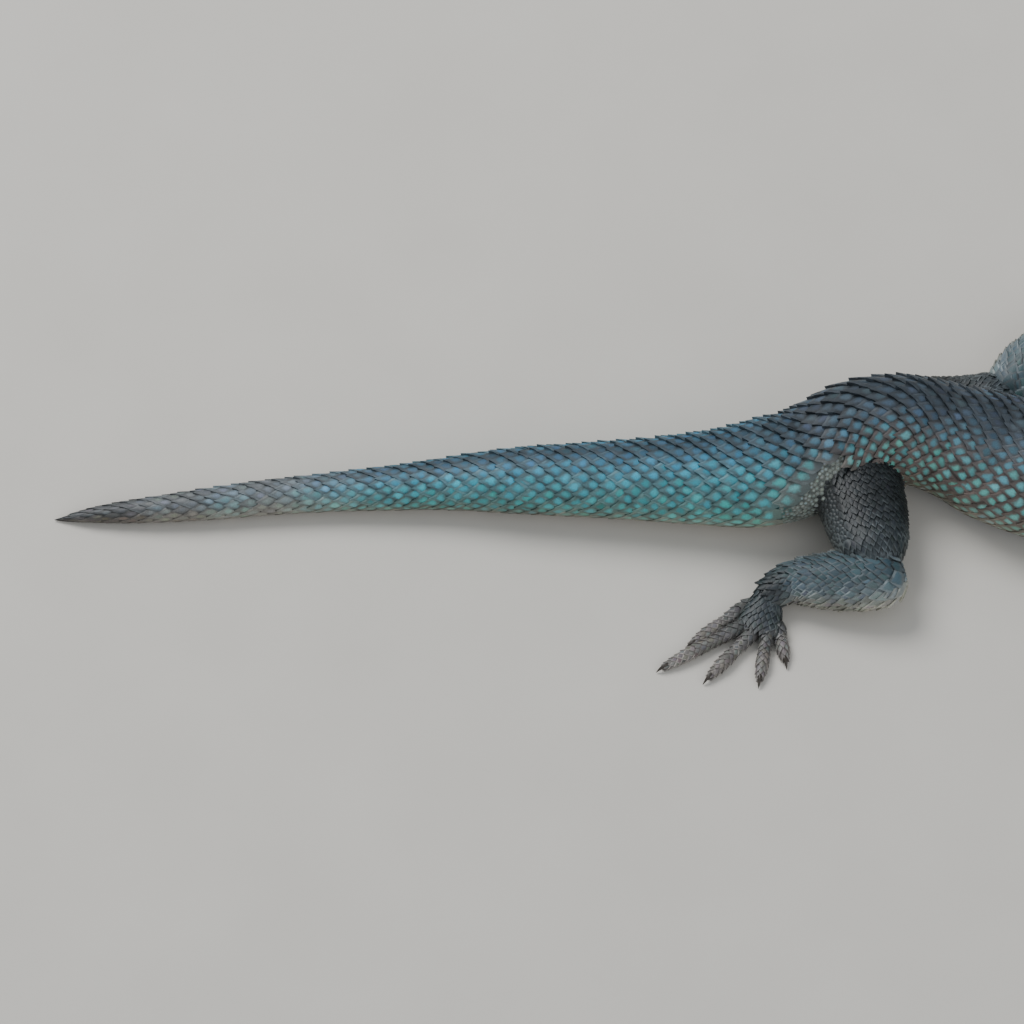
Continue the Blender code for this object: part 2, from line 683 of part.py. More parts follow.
def head_loft(head):
    """The head's closed surface. Level strips close the snout, so that the mouth line goes round it."""
    stations = np.concatenate([[0.0, 0.5, 1.2, 2.1], np.linspace(3.5, HEAD_END, 14)])
    rings = [head.ring(station) for station in stations]
    half = (len(rings[0]) // 2) + 1
    groove = half - 6
    ahead = head.place(0.0, 0, 0) - head.place(1.0, 0, 0)
    for index in (groove, len(rings[0]) - groove):
        rings[0][index] = rings[0][index] - ahead * LIP_GROOVE
    bm = bmesh.new()
    loops = [[bm.verts.new(Vector(point)) for point in ring] for ring in rings]
    count = len(rings[0])
    for first, second in zip(loops, loops[1:]):
        for j in range(count):
            n = (j + 1) % count
            bm.faces.new((first[j], second[j], second[n], first[n]))
    for loop in (loops[0], loops[-1]):
        for j in range(half - 1):
            left, right = (count - j) % count, (count - j - 1) % count
            corners = [loop[j], loop[j + 1], loop[right], loop[left]]
            bm.faces.new(list(dict.fromkeys(corners)))
    bmesh.ops.triangulate(bm, faces=bm.faces)
    return bm


def shield(head, name, station, across, half_length, half_width):
    """A low bevelled plate on the crown, with its root sunk in the head."""
    corners = 6
    bm = bmesh.new()
    loops = []
    for grow, rise in ((0.9, -SHIELD_ROOT), (1.0, 0.06), (0.72, SHIELD_RISE)):
        loop = []
        for k in range(corners):
            turn = WAYS_ROUND * (k + 0.5) / corners
            there = station + grow * half_length * math.copysign(abs(math.cos(turn)) ** 0.8, math.cos(turn))
            aside = across + grow * half_width * math.copysign(abs(math.sin(turn)) ** 0.8, math.sin(turn))
            above = head.crown_height(there, aside) + rise
            loop.append(bm.verts.new(Vector(head.place(there, aside, above))))
        loops.append(loop)
    for first, second in zip(loops, loops[1:]):
        for k in range(corners):
            n = (k + 1) % corners
            bm.faces.new((first[k], first[n], second[n], second[k]))
    bm.faces.new(loops[0])
    bm.faces.new(loops[-1])
    bmesh.ops.triangulate(bm, faces=bm.faces)
    return new_object(name, bm, None)


def lid(head, side, edge):
    """A fold of skin along the upper or lower edge of one eye, thin at the corners of the eye."""
    points, radii = [], []
    rise = (EYE_RADIUS - LID_INSET[edge]) * (1.0 if edge == "upper" else -1.0)
    for turn in np.linspace(0.0, math.pi, 7):
        ahead = math.cos(turn) * (EYE_RADIUS + LID_REACH[edge])
        across = EYE_ACROSS + LID_OUT + 0.35 * math.sin(turn)
        points.append(head.place(EYE_STATION - ahead, side * across, EYE_ABOVE + rise * math.sin(turn)))
        radii.append(LID_RADIUS[edge] + LID_SWELL * math.sin(turn))
    return rod_between(f"{edge}_lid", points, radii, 6)


def rod_between(name, points, radii, sides):
    """A rod through points in any direction, as an object."""
    points = np.array(points, float)
    steps = np.gradient(points, axis=0)
    angle = WAYS_ROUND * np.arange(sides) / sides
    reference = np.cross(points[-1] - points[0], points[len(points) // 2] - points[0])
    reference /= np.linalg.norm(reference)
    rings = []
    for point, step, radius in zip(points, steps, radii):
        step = step / np.linalg.norm(step)
        other = np.cross(step, reference)
        ring = point + radius * (np.outer(np.cos(angle), reference) + np.outer(np.sin(angle), other))
        rings.append(ring)
    return new_object(name, loft(rings), None)


def brow_scale(head, side, index):
    """One of the overlapping scales along the edge of the brow, over the eye."""
    station = EYE_STATION + BROW_START + BROW_PITCH * index
    points = []
    for share in (0.0, 0.5, 1.0):
        there = station + BROW_LENGTH * share
        across = float(head.columns[0](there)) + 0.1 + 0.35 * share
        above = float(head.columns[2](there)) - 0.95 + 0.15 * share
        points.append(head.place(there, side * across, above))
    points[1] = points[1] + np.array([0.0, 0.0, 0.12])
    return rod_between(f"brow_{index}", points, BROW_RADII, 5)


def ear_scale(head, side, index):
    """One of the pointed scales that stand over the front edge of the ear opening."""
    station, across, above = EAR
    lift = above + 1.5 - EAR_SCALE_PITCH * index
    points = []
    for share in (0.0, 0.5, 1.0):
        there = station - 2.5 + EAR_SCALE_LENGTH * share
        points.append(head.place(there, side * (across - 0.75 + 0.25 * share), lift - 0.15 * share))
    points[1] = points[1] + np.array([0.0, -0.15 * side, 0.1])
    return rod_between(f"ear_scale_{index}", points, EAR_SCALE_RADII, 5)


def build_head(lizard):
    """The head with its shields, lids and ear scales, then the eyes that sit in its sockets."""
    head = Head(lizard.trunk.path)
    node = new_object("head", head_loft(head), lizard.materials["head_skin"])
    pieces = [shield(head, *row) for row in MIDDLE_SHIELDS]
    for side in (1.0, -1.0):
        for name, station, across, half_length, half_width in PAIRED_SHIELDS:
            pieces.append(shield(head, name, station, side * across, half_length, half_width))
        pieces += [lid(head, side, "upper"), lid(head, side, "lower")]
        pieces += [brow_scale(head, side, k) for k in range(BROW_SCALES)]
        pieces += [ear_scale(head, side, k) for k in range(EAR_SCALES)]
    boolean(node, "UNION", pieces)
    cuts = []
    for side, word in ((1.0, "right"), (-1.0, "left")):
        centre = head.place(EYE_STATION, side * EYE_ACROSS, EYE_ABOVE)
        cuts.append(ball("socket", centre, (EYE_RADIUS + 1.5 * GAP,) * 3, 2))
        nostril = head.place(NOSTRIL[0], side * NOSTRIL[1], NOSTRIL[2])
        ear = head.place(EAR[0], side * EAR[1], EAR[2])
        cuts.append(ball("nostril", nostril, NOSTRIL_RADII, 1))
        cuts.append(ball("ear_hollow", ear, EAR_RADII, 2))
        eye = ball(f"eye_{word}", centre, (EYE_RADIUS,) * 3, 3)
        eye.data.materials.append(lizard.materials["eye"])
        eye.data.shade_smooth()
    boolean(node, "DIFFERENCE", cuts)


def main():
    clear_scene()
    lizard = Lizard()
    build_head(lizard)
    build_spine(lizard)
    for limb in LIMBS:
        build_limb(lizard, limb)
        build_foot(lizard, limb)


main()
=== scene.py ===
"""Clark's spiny lizard, life size: its skin, scales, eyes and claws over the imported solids.

Lengths are in millimetres and become metres where a mesh is made. A station is a length along the spine
from the snout tip, or along a limb or toe from its root. A turn is an angle round the body from its top, and
grows towards the animal's right on the spine. Every scale tip points to larger stations.
"""

from __future__ import annotations

import logging
import math
from dataclasses import dataclass
from enum import Enum
from itertools import product
from typing import Callable, Iterable, Sequence

import bmesh
import bpy
import numpy as np
from bmesh.types import BMesh, BMVert
from bpy.types import Material, Mesh, Node, NodeSocket, NodeTree, Object
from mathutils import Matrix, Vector
from mathutils.bvhtree import BVHTree
from mathutils.kdtree import KDTree


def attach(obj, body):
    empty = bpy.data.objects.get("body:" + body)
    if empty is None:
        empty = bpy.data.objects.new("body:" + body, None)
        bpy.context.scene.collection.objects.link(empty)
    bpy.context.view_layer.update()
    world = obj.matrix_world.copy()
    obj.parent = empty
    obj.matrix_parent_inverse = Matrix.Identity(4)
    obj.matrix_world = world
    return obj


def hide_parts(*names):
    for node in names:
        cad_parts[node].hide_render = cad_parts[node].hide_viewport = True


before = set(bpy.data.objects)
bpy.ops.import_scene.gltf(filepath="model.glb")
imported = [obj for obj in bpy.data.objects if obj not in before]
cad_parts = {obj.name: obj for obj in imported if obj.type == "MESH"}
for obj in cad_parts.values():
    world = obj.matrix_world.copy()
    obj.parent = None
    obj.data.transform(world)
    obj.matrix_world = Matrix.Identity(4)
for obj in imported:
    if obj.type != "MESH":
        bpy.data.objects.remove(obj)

log = logging.getLogger("lizard")

MM = 0.001
FULL_TURN = 2.0 * math.pi
# Where the bright spot of a scale lies, as a share of the way from its root to its rear edge.
SPOT_PLACE = 0.58
# The points of an outline, before they are spaced evenly.
OUTLINE_POINTS = 192
Array = np.ndarray
Colour = tuple[float, float, float]


def linear(code: str) -> Colour:
    """Turns an sRGB hex colour into the linear values that shaders use.

    Args:
        code: six hex digits after a hash sign.

    Returns:
        Red, green and blue from 0 to 1.
    """
    parts = [int(code[k : k + 2], 16) / 255.0 for k in (1, 3, 5)]
    return tuple(v / 12.92 if v <= 0.04045 else ((v + 0.055) / 1.055) ** 2.4 for v in parts)


def smooth(x: Array | float) -> Array:
    """A smooth rise from 0 to 1 as x goes from 0 to 1."""
    x = np.clip(x, 0.0, 1.0)
    return x * x * (3.0 - 2.0 * x)


def fade_in(x: Array | float, start: float, width: float) -> Array:
    """A smooth rise from 0 at the start to 1 a width further on."""
    return smooth((x - start) / width)


def fade_out(x: Array | float, end: float, width: float) -> Array:
    """A smooth fall to 0 at the end, from 1 a width before it."""
    return smooth((end - x) / width)


def within(x: Array, start: float, grow: float, end: float, shrink: float) -> Array:
    """1 between two places and 0 beyond them, with a soft edge of its own width inside each."""
    return fade_in(x, start, grow) * fade_out(x, end, shrink)


def fold_of(turn: Array) -> Array:
    """How far a turn lies from the back's middle line, 0, toward the belly's, 1."""
    half = (turn / FULL_TURN) % 1.0
    return 2.0 * np.minimum(half, 1.0 - half)


def table(rows: Sequence[Sequence[float]], column: int) -> Callable[[Array], Array]:
    """Makes a function that runs smoothly, without overshoot, through one column of a table.

    Args:
        rows: rows whose first value rises.
        column: the column to read.

    Returns:
        A function of the first value.
    """
    xs = np.array([row[0] for row in rows], float)
    ys = np.array([row[column] for row in rows], float)
    slopes = np.diff(ys) / np.diff(xs)
    tangents = np.zeros(len(xs))
    same_way = slopes[:-1] * slopes[1:] > 0
    tangents[1:-1][same_way] = 2.0 / (1.0 / slopes[:-1][same_way] + 1.0 / slopes[1:][same_way])
    tangents[0], tangents[-1] = slopes[0], slopes[-1]

    def value(x: Array) -> Array:
        """Reads the curve at x."""
        x = np.clip(np.asarray(x, float), xs[0], xs[-1])
        k = np.clip(np.searchsorted(xs, x) - 1, 0, len(xs) - 2)
        width = xs[k + 1] - xs[k]
        t = (x - xs[k]) / width
        rise = (2 * t**3 - 3 * t**2 + 1) * ys[k] + (3 * t**2 - 2 * t**3) * ys[k + 1]
        return rise + width * ((t**3 - 2 * t**2 + t) * tangents[k] + (t**3 - t**2) * tangents[k + 1])

    return value


def spline(knots: Sequence[Sequence[float]], steps: int, closed: bool = False) -> Array:
    """Points of a Catmull-Rom curve.

    Args:
        knots: the points that the curve runs through.
        steps: how many points it gets from each knot to the next.
        closed: whether the last knot joins the first.

    Returns:
        The curve's points, with the last knot among them if the curve is open.
    """
    knots = np.array(knots, float)
    if closed:
        ends = np.vstack([knots[-1:], knots, knots[:2]])
    else:
        ends = np.vstack([2 * knots[0] - knots[1], knots, 2 * knots[-1] - knots[-2]])
    points = []
    for i in range(1, len(ends) - 2):
        before, here, there, after = ends[i - 1], ends[i], ends[i + 1], ends[i + 2]
        for t in np.arange(steps) / steps:
            pull = 3 * here - before - 3 * there + after
            bend = 2 * before - 5 * here + 4 * there - after
            points.append(0.5 * (2 * here + (there - before) * t + bend * t**2 + pull * t**3))
    if not closed:
        points.append(ends[-2])
    return np.array(points)


class Path:
    """A smooth line in space, read by its length from its start."""

    def __init__(self, points: Array) -> None:
        """Measures the line through the points.

        Args:
            points: places in millimetres, as an array by 3.
        """
        self.points = points
        steps = np.linalg.norm(np.diff(points, axis=0), axis=1)
        self.stations = np.concatenate([[0.0], np.cumsum(steps)])
        self.length = float(self.stations[-1])

    def at(self, station: Array | float) -> Array:
        """The point at each station."""
        return np.stack([np.interp(station, self.stations, self.points[:, k]) for k in range(3)], axis=-1)

    def frame(self, station: Array | float, reach: float = 1.2) -> tuple[Array, Array, Array]:
        """The unit vectors along the line, to its side and upwards, at each station.

        Args:
            station: the stations.
            reach: how far each way the line is read for its direction.

        Returns:
            The three vectors, each in the shape of the stations with 3 added.
        """
        station = np.asarray(station, float)
        along = self.at(np.minimum(station + reach, self.length)) - self.at(np.maximum(station - reach, 0.0))
        along /= np.linalg.norm(along, axis=-1, keepdims=True)
        side = np.cross((0.0, 0.0, 1.0), along)
        side /= np.linalg.norm(side, axis=-1, keepdims=True)
        return along, side, np.cross(along, side)


class Region(Enum):
    """The stretches of the body whose scales and colours differ."""

    HEAD = "head"
    SPINE = "spine"
    FORE = "fore"
    HIND = "hind"
    FOOT = "foot"


class Form:
    """A closed sleeve of the body, read by station, turn and height over its surface.

    Attributes:
        name: what it is, in plain words.
        region: the region of the body that it belongs to.
        stations: the station of each ring.
        rings: each ring's points, evenly spaced from the top, as an array of rings by points by 3.
        atlas: its rectangle on the unwrap of the whole skin: left, bottom, width and height.
    """

    # The points of a ring, and the least and greatest stretch that counts.
    RING_POINTS = 96
    STRETCH_LIMITS = (0.35, 2.2)

    def __init__(self, name: str, region: Region, stations: Array, outlines: Array) -> None:
        """Spaces each outline's points evenly and works out the normals.

        Args:
            name: the form's name.
            region: the region of the body.
            stations: the station of each outline.
            outlines: closed outlines that start at the top, as rings by points by 3.
        """
        self.name = name
        self.region = region
        self.stations = np.asarray(stations, float)
        self.rings = self._even(outlines)
        self.rings[..., 2] = np.maximum(self.rings[..., 2], 0.0)
        self.girth = np.linalg.norm(np.roll(self.rings, -1, 1) - self.rings, axis=2).sum(1)
        along = np.gradient(self.rings, self.stations, axis=0)
        around = np.roll(self.rings, -1, 1) - np.roll(self.rings, 1, 1)
        normals = np.cross(along, around)
        self.normals = normals / np.maximum(np.linalg.norm(normals, axis=2, keepdims=True), 1e-9)
        self.pace = np.linalg.norm(along, axis=2)
        self.atlas = (0.0, 0.0, 1.0, 1.0)

    def _even(self, outlines: Array) -> Array:
        """Spaces the points of each outline evenly by length.

        Args:
            outlines: closed outlines, as rings by points by 3.

        Returns:
            The rings.
        """
        closed = np.concatenate([outlines, outlines[:, :1]], axis=1)
        steps = np.linalg.norm(np.diff(closed, axis=1), axis=2)
        run = np.concatenate([np.zeros((len(outlines), 1)), np.cumsum(steps, axis=1)], axis=1)
        rings = np.empty((len(outlines), self.RING_POINTS, 3))
        shares = np.arange(self.RING_POINTS) / self.RING_POINTS
        for k, ring in enumerate(closed):
            for axis in range(3):
                rings[k, :, axis] = np.interp(run[k, -1] * shares, run[k], ring[:, axis])
        return rings

    @property
    def start(self) -> float:
        """The first station."""
        return float(self.stations[0])

    @property
    def end(self) -> float:
        """The last station."""
        return float(self.stations[-1])

    def girth_at(self, station: Array | float) -> Array:
        """The length round the form at each station."""
        return np.interp(station, self.stations, self.girth)

    def _read(self, grid: Array, station: Array, turn: Array) -> Array:
        """Reads a grid of rings by points between its four nearest points.

        Args:
            grid: one value or vector for each point of each ring.
            station: the stations to read.
            turn: the turns to read.

        Returns:
            The values there.
        """
        k = np.clip(np.searchsorted(self.stations, station) - 1, 0, len(self.stations) - 2)
        t = (station - self.stations[k]) / (self.stations[k + 1] - self.stations[k])
        place = (turn / FULL_TURN) % 1.0 * self.RING_POINTS
        j = np.floor(place).astype(int) % self.RING_POINTS
        n = (j + 1) % self.RING_POINTS
        w = place - np.floor(place)
        if grid.ndim == 3:
            t, w = t[..., None], w[..., None]
        near = grid[k, j] * (1 - w) + grid[k, n] * w
        far = grid[k + 1, j] * (1 - w) + grid[k + 1, n] * w
        return near * (1 - t) + far * t

    def at(self, station: Array, turn: Array, height: Array | float) -> Array:
        """Points over the form's surface.

        Args:
            station: how far along the form.
            turn: how far round it, in radians from its top.
            height: how far out from its surface.

        Returns:
            The points, in the shape of the arguments with 3 added.
        """
        station, turn, height = np.broadcast_arrays(station, turn, height)
        outwards = self._read(self.normals, station, turn) * height[..., None]
        return self._read(self.rings, station, turn) + outwards

    def stretch(self, station: Array, turn: Array) -> Array:
        """How many millimetres of the surface one millimetre of station covers, at each place."""
        inside = np.clip(station, self.start, self.end)
        return np.clip(self._read(self.pace, inside, turn), *self.STRETCH_LIMITS)

    def unwrap(self, station: Array, turn: Array) -> Array:
        """Places on the unwrap of the whole skin."""
        left, bottom, width, tall = self.atlas
        across = left + width * (station - self.start) / (self.end - self.start)
        return np.stack([across, bottom + tall * ((turn / FULL_TURN) % 1.0)], axis=-1)


def oval_outlines(
    path: Path, stations: Array, width: Array, above: Array, below: Array, squareness: float = 2.0,
    reach: float = 1.2,
) -> Array:
    """Closed oval outlines round a path, starting at the top and turning to its side.

    Args:
        path: the line that they stand on.
        stations: the station of each outline.
        width: each outline's half width.
        above: each outline's height above the path.
        below: each outline's depth below the path.
        squareness: 2 for an ellipse, and more for a squarer oval.
        reach: how far each way the path is read for its direction.

    Returns:
        The outlines as rings by points by 3.
    """
    angle = FULL_TURN * np.arange(OUTLINE_POINTS) / OUTLINE_POINTS
    sine, cosine = np.sin(angle), np.cos(angle)
    power = 2.0 / squareness
    across = width[:, None] * np.sign(sine) * np.abs(sine) ** power
    tall = np.where(cosine > 0, above[:, None], below[:, None])
    rise = tall * np.sign(cosine) * np.abs(cosine) ** power
    _, side, up = path.frame(stations, reach)
    centre = path.at(stations)
    return centre[:, None] + across[..., None] * side[:, None] + rise[..., None] * up[:, None]


@dataclass(frozen=True)
class SpineSizes:
    """The line of the spine and the trunk's girth, from the snout to the tail tip.

    Attributes:
        plan: x and y of the spine.
        sections: station, half width, height above the axis, depth below it and the axis's own height.
        collar: the station inside the head where the neck's sleeve starts.
        last: the station of the last ring.
        squareness: of the sections, 2 for an ellipse.
        direction_reach: how far each way the spine is read for its direction.
    """

    plan: tuple[tuple[float, float], ...] = (
        (75.6, -2.8), (64.0, -5.2), (50.0, -6.8), (36.0, -6.8), (22.0, -4.8), (10.0, -1.6), (0.0, 1.9),
        (-8.0, 5.2), (-14.0, 6.9), (-19.5, 7.2), (-26.0, 6.0), (-31.5, 2.8), (-36.5, 0.3), (-42.0, -1.0),
        (-53.0, -1.9), (-93.0, -1.2), (-112.0, -1.8), (-131.0, -3.0), (-150.0, -5.0), (-160.0, -5.8),
        (-178.0, -6.8),
    )
    sections: tuple[tuple[float, ...], ...] = (
        (0.0, 2.0, 1.2, 2.0, 16.4), (12.0, 8.8, 7.0, 6.2, 17.3), (27.0, 10.0, 7.3, 7.4, 16.6),
        (33.0, 9.8, 7.5, 7.2, 15.7), (40.0, 11.2, 8.3, 8.2, 14.2), (50.0, 13.0, 9.3, 9.3, 12.0),
        (64.0, 13.6, 9.9, 9.7, 9.9), (78.0, 12.2, 9.7, 9.4, 8.8), (88.0, 10.3, 9.3, 8.8, 9.1),
        (99.0, 9.7, 9.3, 8.7, 10.2), (107.0, 9.6, 8.9, 8.5, 9.9), (114.0, 10.0, 8.5, 8.5, 9.0),
        (121.0, 10.3, 8.4, 8.6, 8.4), (127.0, 9.7, 8.0, 8.2, 7.9), (134.0, 8.7, 7.5, 7.6, 7.3),
        (150.0, 7.2, 6.6, 6.7, 6.4), (169.0, 6.0, 5.7, 5.7, 5.4), (188.0, 4.3, 4.2, 4.2, 3.95),
        (207.0, 3.4, 3.35, 3.35, 3.1), (226.0, 2.9, 2.85, 2.85, 2.65), (243.0, 2.0, 2.0, 2.0, 1.8),
        (250.0, 1.25, 1.25, 1.25, 1.1), (254.5, 0.4, 0.4, 0.4, 0.35),
    )
    collar: float = 23.0
    last: float = 254.0
    squareness: float = 2.15
    direction_reach: float = 5.0

    def path(self) -> Path:
        """The spine in space."""
        plan = spline(self.plan, 24)
        steps = np.linalg.norm(np.diff(plan, axis=0), axis=1)
        height = table(self.sections, 4)(np.concatenate([[0.0], np.cumsum(steps)]))
        return Path(np.column_stack([plan, height]))

    def form(self, path: Path) -> Form:
        """The sleeve of neck, trunk and tail.

        Args:
            path: the spine in space.

        Returns:
            The form.
        """
        stations = np.arange(self.collar, self.last, 0.5)
        girth = [table(self.sections, column)(stations) for column in (1, 2, 3)]
        outlines = oval_outlines(path, stations, *girth, self.squareness, self.direction_reach)
        return Form("spine", Region.SPINE, stations, outlines)


@dataclass(frozen=True)
class HeadSizes:
    """The head's sections and the places of its eyes, ears, nostrils and mouth.

    Attributes:
        sections: station, crown half width, greatest half width, crown height, mouth level and throat depth.
        length: the station where the head's sleeve ends.
        nose_round: the length over which the nose is rounded.
        mouth_corner: the station where the mouth ends.
        eye: station, distance across and height of each eye's middle.
        eye_radius: the radius of an eyeball.
        ear: the same of each ear.
        nostril: the same of each nostril.
    """

    sections: tuple[tuple[float, ...], ...] = (
        (0.0, 1.5, 2.1, 1.3, -0.7, -2.1),
        (0.9, 2.2, 3.5, 2.2, -0.9, -3.0),
        (2.4, 3.0, 4.8, 3.2, -1.2, -3.8),
        (4.6, 3.9, 6.1, 4.4, -1.6, -4.6),
        (7.4, 4.9, 7.3, 5.6, -2.0, -5.3),
        (10.0, 6.3, 8.3, 6.6, -2.3, -5.9),
        (13.0, 7.5, 9.2, 7.3, -2.4, -6.4),
        (16.0, 7.7, 10.1, 7.5, -2.1, -6.9),
        (19.0, 7.5, 10.9, 7.5, -1.6, -7.2),
        (22.0, 7.2, 11.2, 7.4, -1.3, -7.4),
        (25.0, 7.0, 10.7, 7.3, -1.2, -7.4),
        (27.0, 6.9, 10.1, 7.3, -1.2, -7.4),
    )
    length: float = 27.0
    nose_round: float = 1.3
    mouth_corner: float = 17.6
    eye: tuple[float, float, float] = (12.4, 6.75, 2.9)
    eye_radius: float = 2.9
    ear: tuple[float, float, float] = (24.2, 11.2, 0.4)
    nostril: tuple[float, float, float] = (2.3, 3.25, 1.7)


class HeadShape:
    """The head's sleeve, set on the first stretch of the spine."""

    # The points from each knot of an outline to the next, and the knots of mouth line and crown edge.
    KNOT_STEPS = 8
    MOUTH_KNOT = 6
    CROWN_KNOT = 2

    def __init__(self, sizes: HeadSizes, spine: Path) -> None:
        """Builds the sleeve and finds the mouth line and the crown's edge on it.

        Args:
            sizes: the head's sizes.
            spine: the line of the spine.
        """
        self.sizes = sizes
        self.spine = spine
        self.columns = [table(sizes.sections, k) for k in range(1, 6)]
        stations = np.concatenate([np.linspace(0.02, 1.2, 9), np.arange(1.5, sizes.length + 0.01, 0.5)])
        outlines = np.array([self._outline(float(station)) for station in stations])
        self.form = Form("head", Region.HEAD, stations, outlines)
        self.mouth_turn = self._turn_of(outlines, self.MOUTH_KNOT)
        self.crown_turn = self._turn_of(outlines, self.CROWN_KNOT)

    def place(self, station: float, across: float, above: float) -> Array:
        """A point of the head. Across is positive to the animal's right."""
        _, side, up = self.spine.frame(station)
        return self.spine.at(station) + side * across + up * above

    def side_turn(self, station: float, above: float) -> float:
        """The turn on the right side at which the surface stands at a height above the axis.

        Args:
            station: the station.
            above: the height above the axis.

        Returns:
            The turn.
        """
        turns = np.linspace(0.15, 0.85, 71) * math.pi
        _, _, up = self.spine.frame(station)
        heights = (self.form.at(np.full(71, station), turns, 0.0) - self.spine.at(station)) @ up
        return float(np.interp(-above, -heights, turns))

    def _outline(self, station: float) -> Array:
        """One closed outline of the head, through knots from the crown's middle round to it again.

        Args:
            station: its station.

        Returns:
            The points of the outline, as an array by 3.
        """
        crown, widest, top, mouth, bottom = (float(column(station)) for column in self.columns)
        upper, lower, spare = top - mouth, mouth - bottom, widest - crown
        half = [
            (0.0, top),
            (0.5 * crown, top - 0.12),
            (0.93 * crown, top - 0.5),
            (crown + 0.22 * spare, top - 0.34 * upper),
            (crown + 0.66 * spare, top - 0.62 * upper),
            (0.985 * widest, mouth + 0.16 * upper),
            (0.975 * widest, mouth),
            (0.95 * widest, mouth - 0.34 * lower),
            (0.80 * widest, bottom + 0.26 * lower),
            (0.46 * widest, bottom + 0.05 * lower),
            (0.0, bottom),
        ]
        ahead = min(1.0, station / self.sizes.nose_round)
        blunt = math.sqrt(1.0 - (1.0 - ahead) ** 2)
        knots = half + [(-across, above) for across, above in half[-2:0:-1]]
        curve = (spline(knots, self.KNOT_STEPS, closed=True) - (0.0, mouth)) * blunt + (0.0, mouth)
        _, side, up = self.spine.frame(station)
        return self.spine.at(station) + curve[:, :1] * side + curve[:, 1:] * up

    def _turn_of(self, outlines: Array, knot: int) -> Callable[[Array], Array]:
        """The turn, on the animal's right, at which each outline passes one of its knots.

        Args:
            outlines: the head's outlines.
            knot: the number of the knot.

        Returns:
            A function that gives the turn at a station.
        """
        closed = np.concatenate([outlines, outlines[:, :1]], axis=1)
        steps = np.linalg.norm(np.diff(closed, axis=1), axis=2)
        share = steps[:, : knot * self.KNOT_STEPS].sum(1) / steps.sum(1)
        return lambda station: np.interp(station, self.form.stations, share * FULL_TURN)


@dataclass(frozen=True)
class LimbSizes:
    """One limb: the knots of its upper and lower parts, and its foot.

    Attributes:
        kind: hind or fore.
        side: right or left.
        upper: knots of the thigh or upper arm.
        lower: knots of the shank or forearm.
        heading: the foot's heading in degrees from +X.
    """

    kind: str
    side: str
    upper: tuple[tuple[float, float, float], ...]
    lower: tuple[tuple[float, float, float], ...]
    heading: float


@dataclass(frozen=True)
class LimbBuild:
    """What the two hind limbs share, or the two fore limbs.

    Attributes:
        upper_girth: share of the length, half width and half height of the upper part.
        lower_girth: the same of the lower part.
        palm_length: from the wrist or ankle to the roots of the toes.
        palm_width: across the palm at the roots of the toes.
        toes: each toe's turn inwards, its length, and how far its root lies in and back.
        toe_radius: the thickness of a toe, from its middle line.
    """

    upper_girth: tuple[tuple[float, float, float], ...]
    lower_girth: tuple[tuple[float, float, float], ...]
    palm_length: float
    palm_width: float
    toes: tuple[tuple[float, float, float, float], ...]
    toe_radius: float


HIND = LimbBuild(
    upper_girth=((0.0, 7.9, 6.6), (0.3, 8.5, 6.2), (0.6, 8.0, 5.5), (0.85, 6.6, 5.0), (1.0, 3.8, 3.2)),
    lower_girth=((0.0, 2.6, 2.4), (0.14, 5.0, 4.5), (0.38, 5.6, 4.8), (0.7, 4.6, 3.9), (1.0, 2.9, 2.5)),
    palm_length=6.6,
    palm_width=7.8,
    toes=(
        (30.0, 6.8, 3.2, 1.8), (11.0, 10.2, 1.7, 0.6), (-22.0, 13.4, 0.0, 0.2), (-40.0, 18.0, -1.8, 0.7),
        (-33.0, 12.6, -3.4, 3.8),
    ),
    toe_radius=0.98,
)
FORE = LimbBuild(
    upper_girth=((0.0, 5.0, 5.2), (0.3, 4.8, 4.5), (0.6, 4.3, 3.9), (0.85, 3.7, 3.5), (1.0, 2.2, 2.2)),
    lower_girth=((0.0, 1.8, 1.8), (0.16, 3.5, 3.3), (0.42, 3.7, 3.3), (0.7, 3.0, 2.6), (1.0, 2.3, 1.9)),
    palm_length=5.4,
    palm_width=6.6,
    toes=(
        (62.0, 5.6, 2.4, 2.4), (30.0, 8.0, 1.6, 0.7), (2.0, 9.6, 0.0, 0.3), (-28.0, 9.6, -1.6, 0.7),
        (-62.0, 7.0, -2.4, 2.2),
    ),
    toe_radius=0.9,
)
BUILDS = {"hind": HIND, "fore": FORE}
LIMBS = (
    LimbSizes(
        "hind", "right",
        ((-25.2, 7.0, 9.8), (-25.8, -2.0, 9.0), (-24.2, -11.0, 8.2), (-21.8, -20.8, 7.2)),
        (
            (-16.9, -21.8, 6.9), (-22.0, -22.8, 6.3), (-30.5, -22.4, 5.2), (-37.6, -22.2, 4.3),
            (-41.8, -24.0, 3.6),
        ),
        -110.0,
    ),
    LimbSizes(
        "hind", "left",
        ((-21.0, 8.4, 9.4), (-14.2, 11.4, 7.0), (-5.4, 13.6, 5.3), (3.8, 17.0, 5.1)),
        ((2.4, 15.2, 5.4), (5.2, 20.0, 5.2), (10.0, 27.0, 4.6), (15.0, 34.0, 3.6)),
        52.0,
    ),
    LimbSizes(
        "fore", "right",
        ((39.0, -6.6, 12.4), (38.6, -15.6, 11.6), (36.8, -23.2, 9.6), (34.6, -28.6, 7.8)),
        ((32.4, -27.6, 8.2), (36.4, -29.8, 6.9), (42.0, -31.4, 5.0), (48.0, -32.2, 3.2)),
        -10.0,
    ),
    LimbSizes(
        "fore", "left",
        ((40.0, -5.6, 12.4), (38.0, 4.0, 11.2), (33.2, 11.4, 9.4), (28.6, 16.4, 8.2)),
        ((26.6, 14.8, 8.6), (27.6, 18.6, 7.2), (31.0, 23.8, 5.2), (35.0, 28.6, 3.2)),
        30.0,
    ),
)


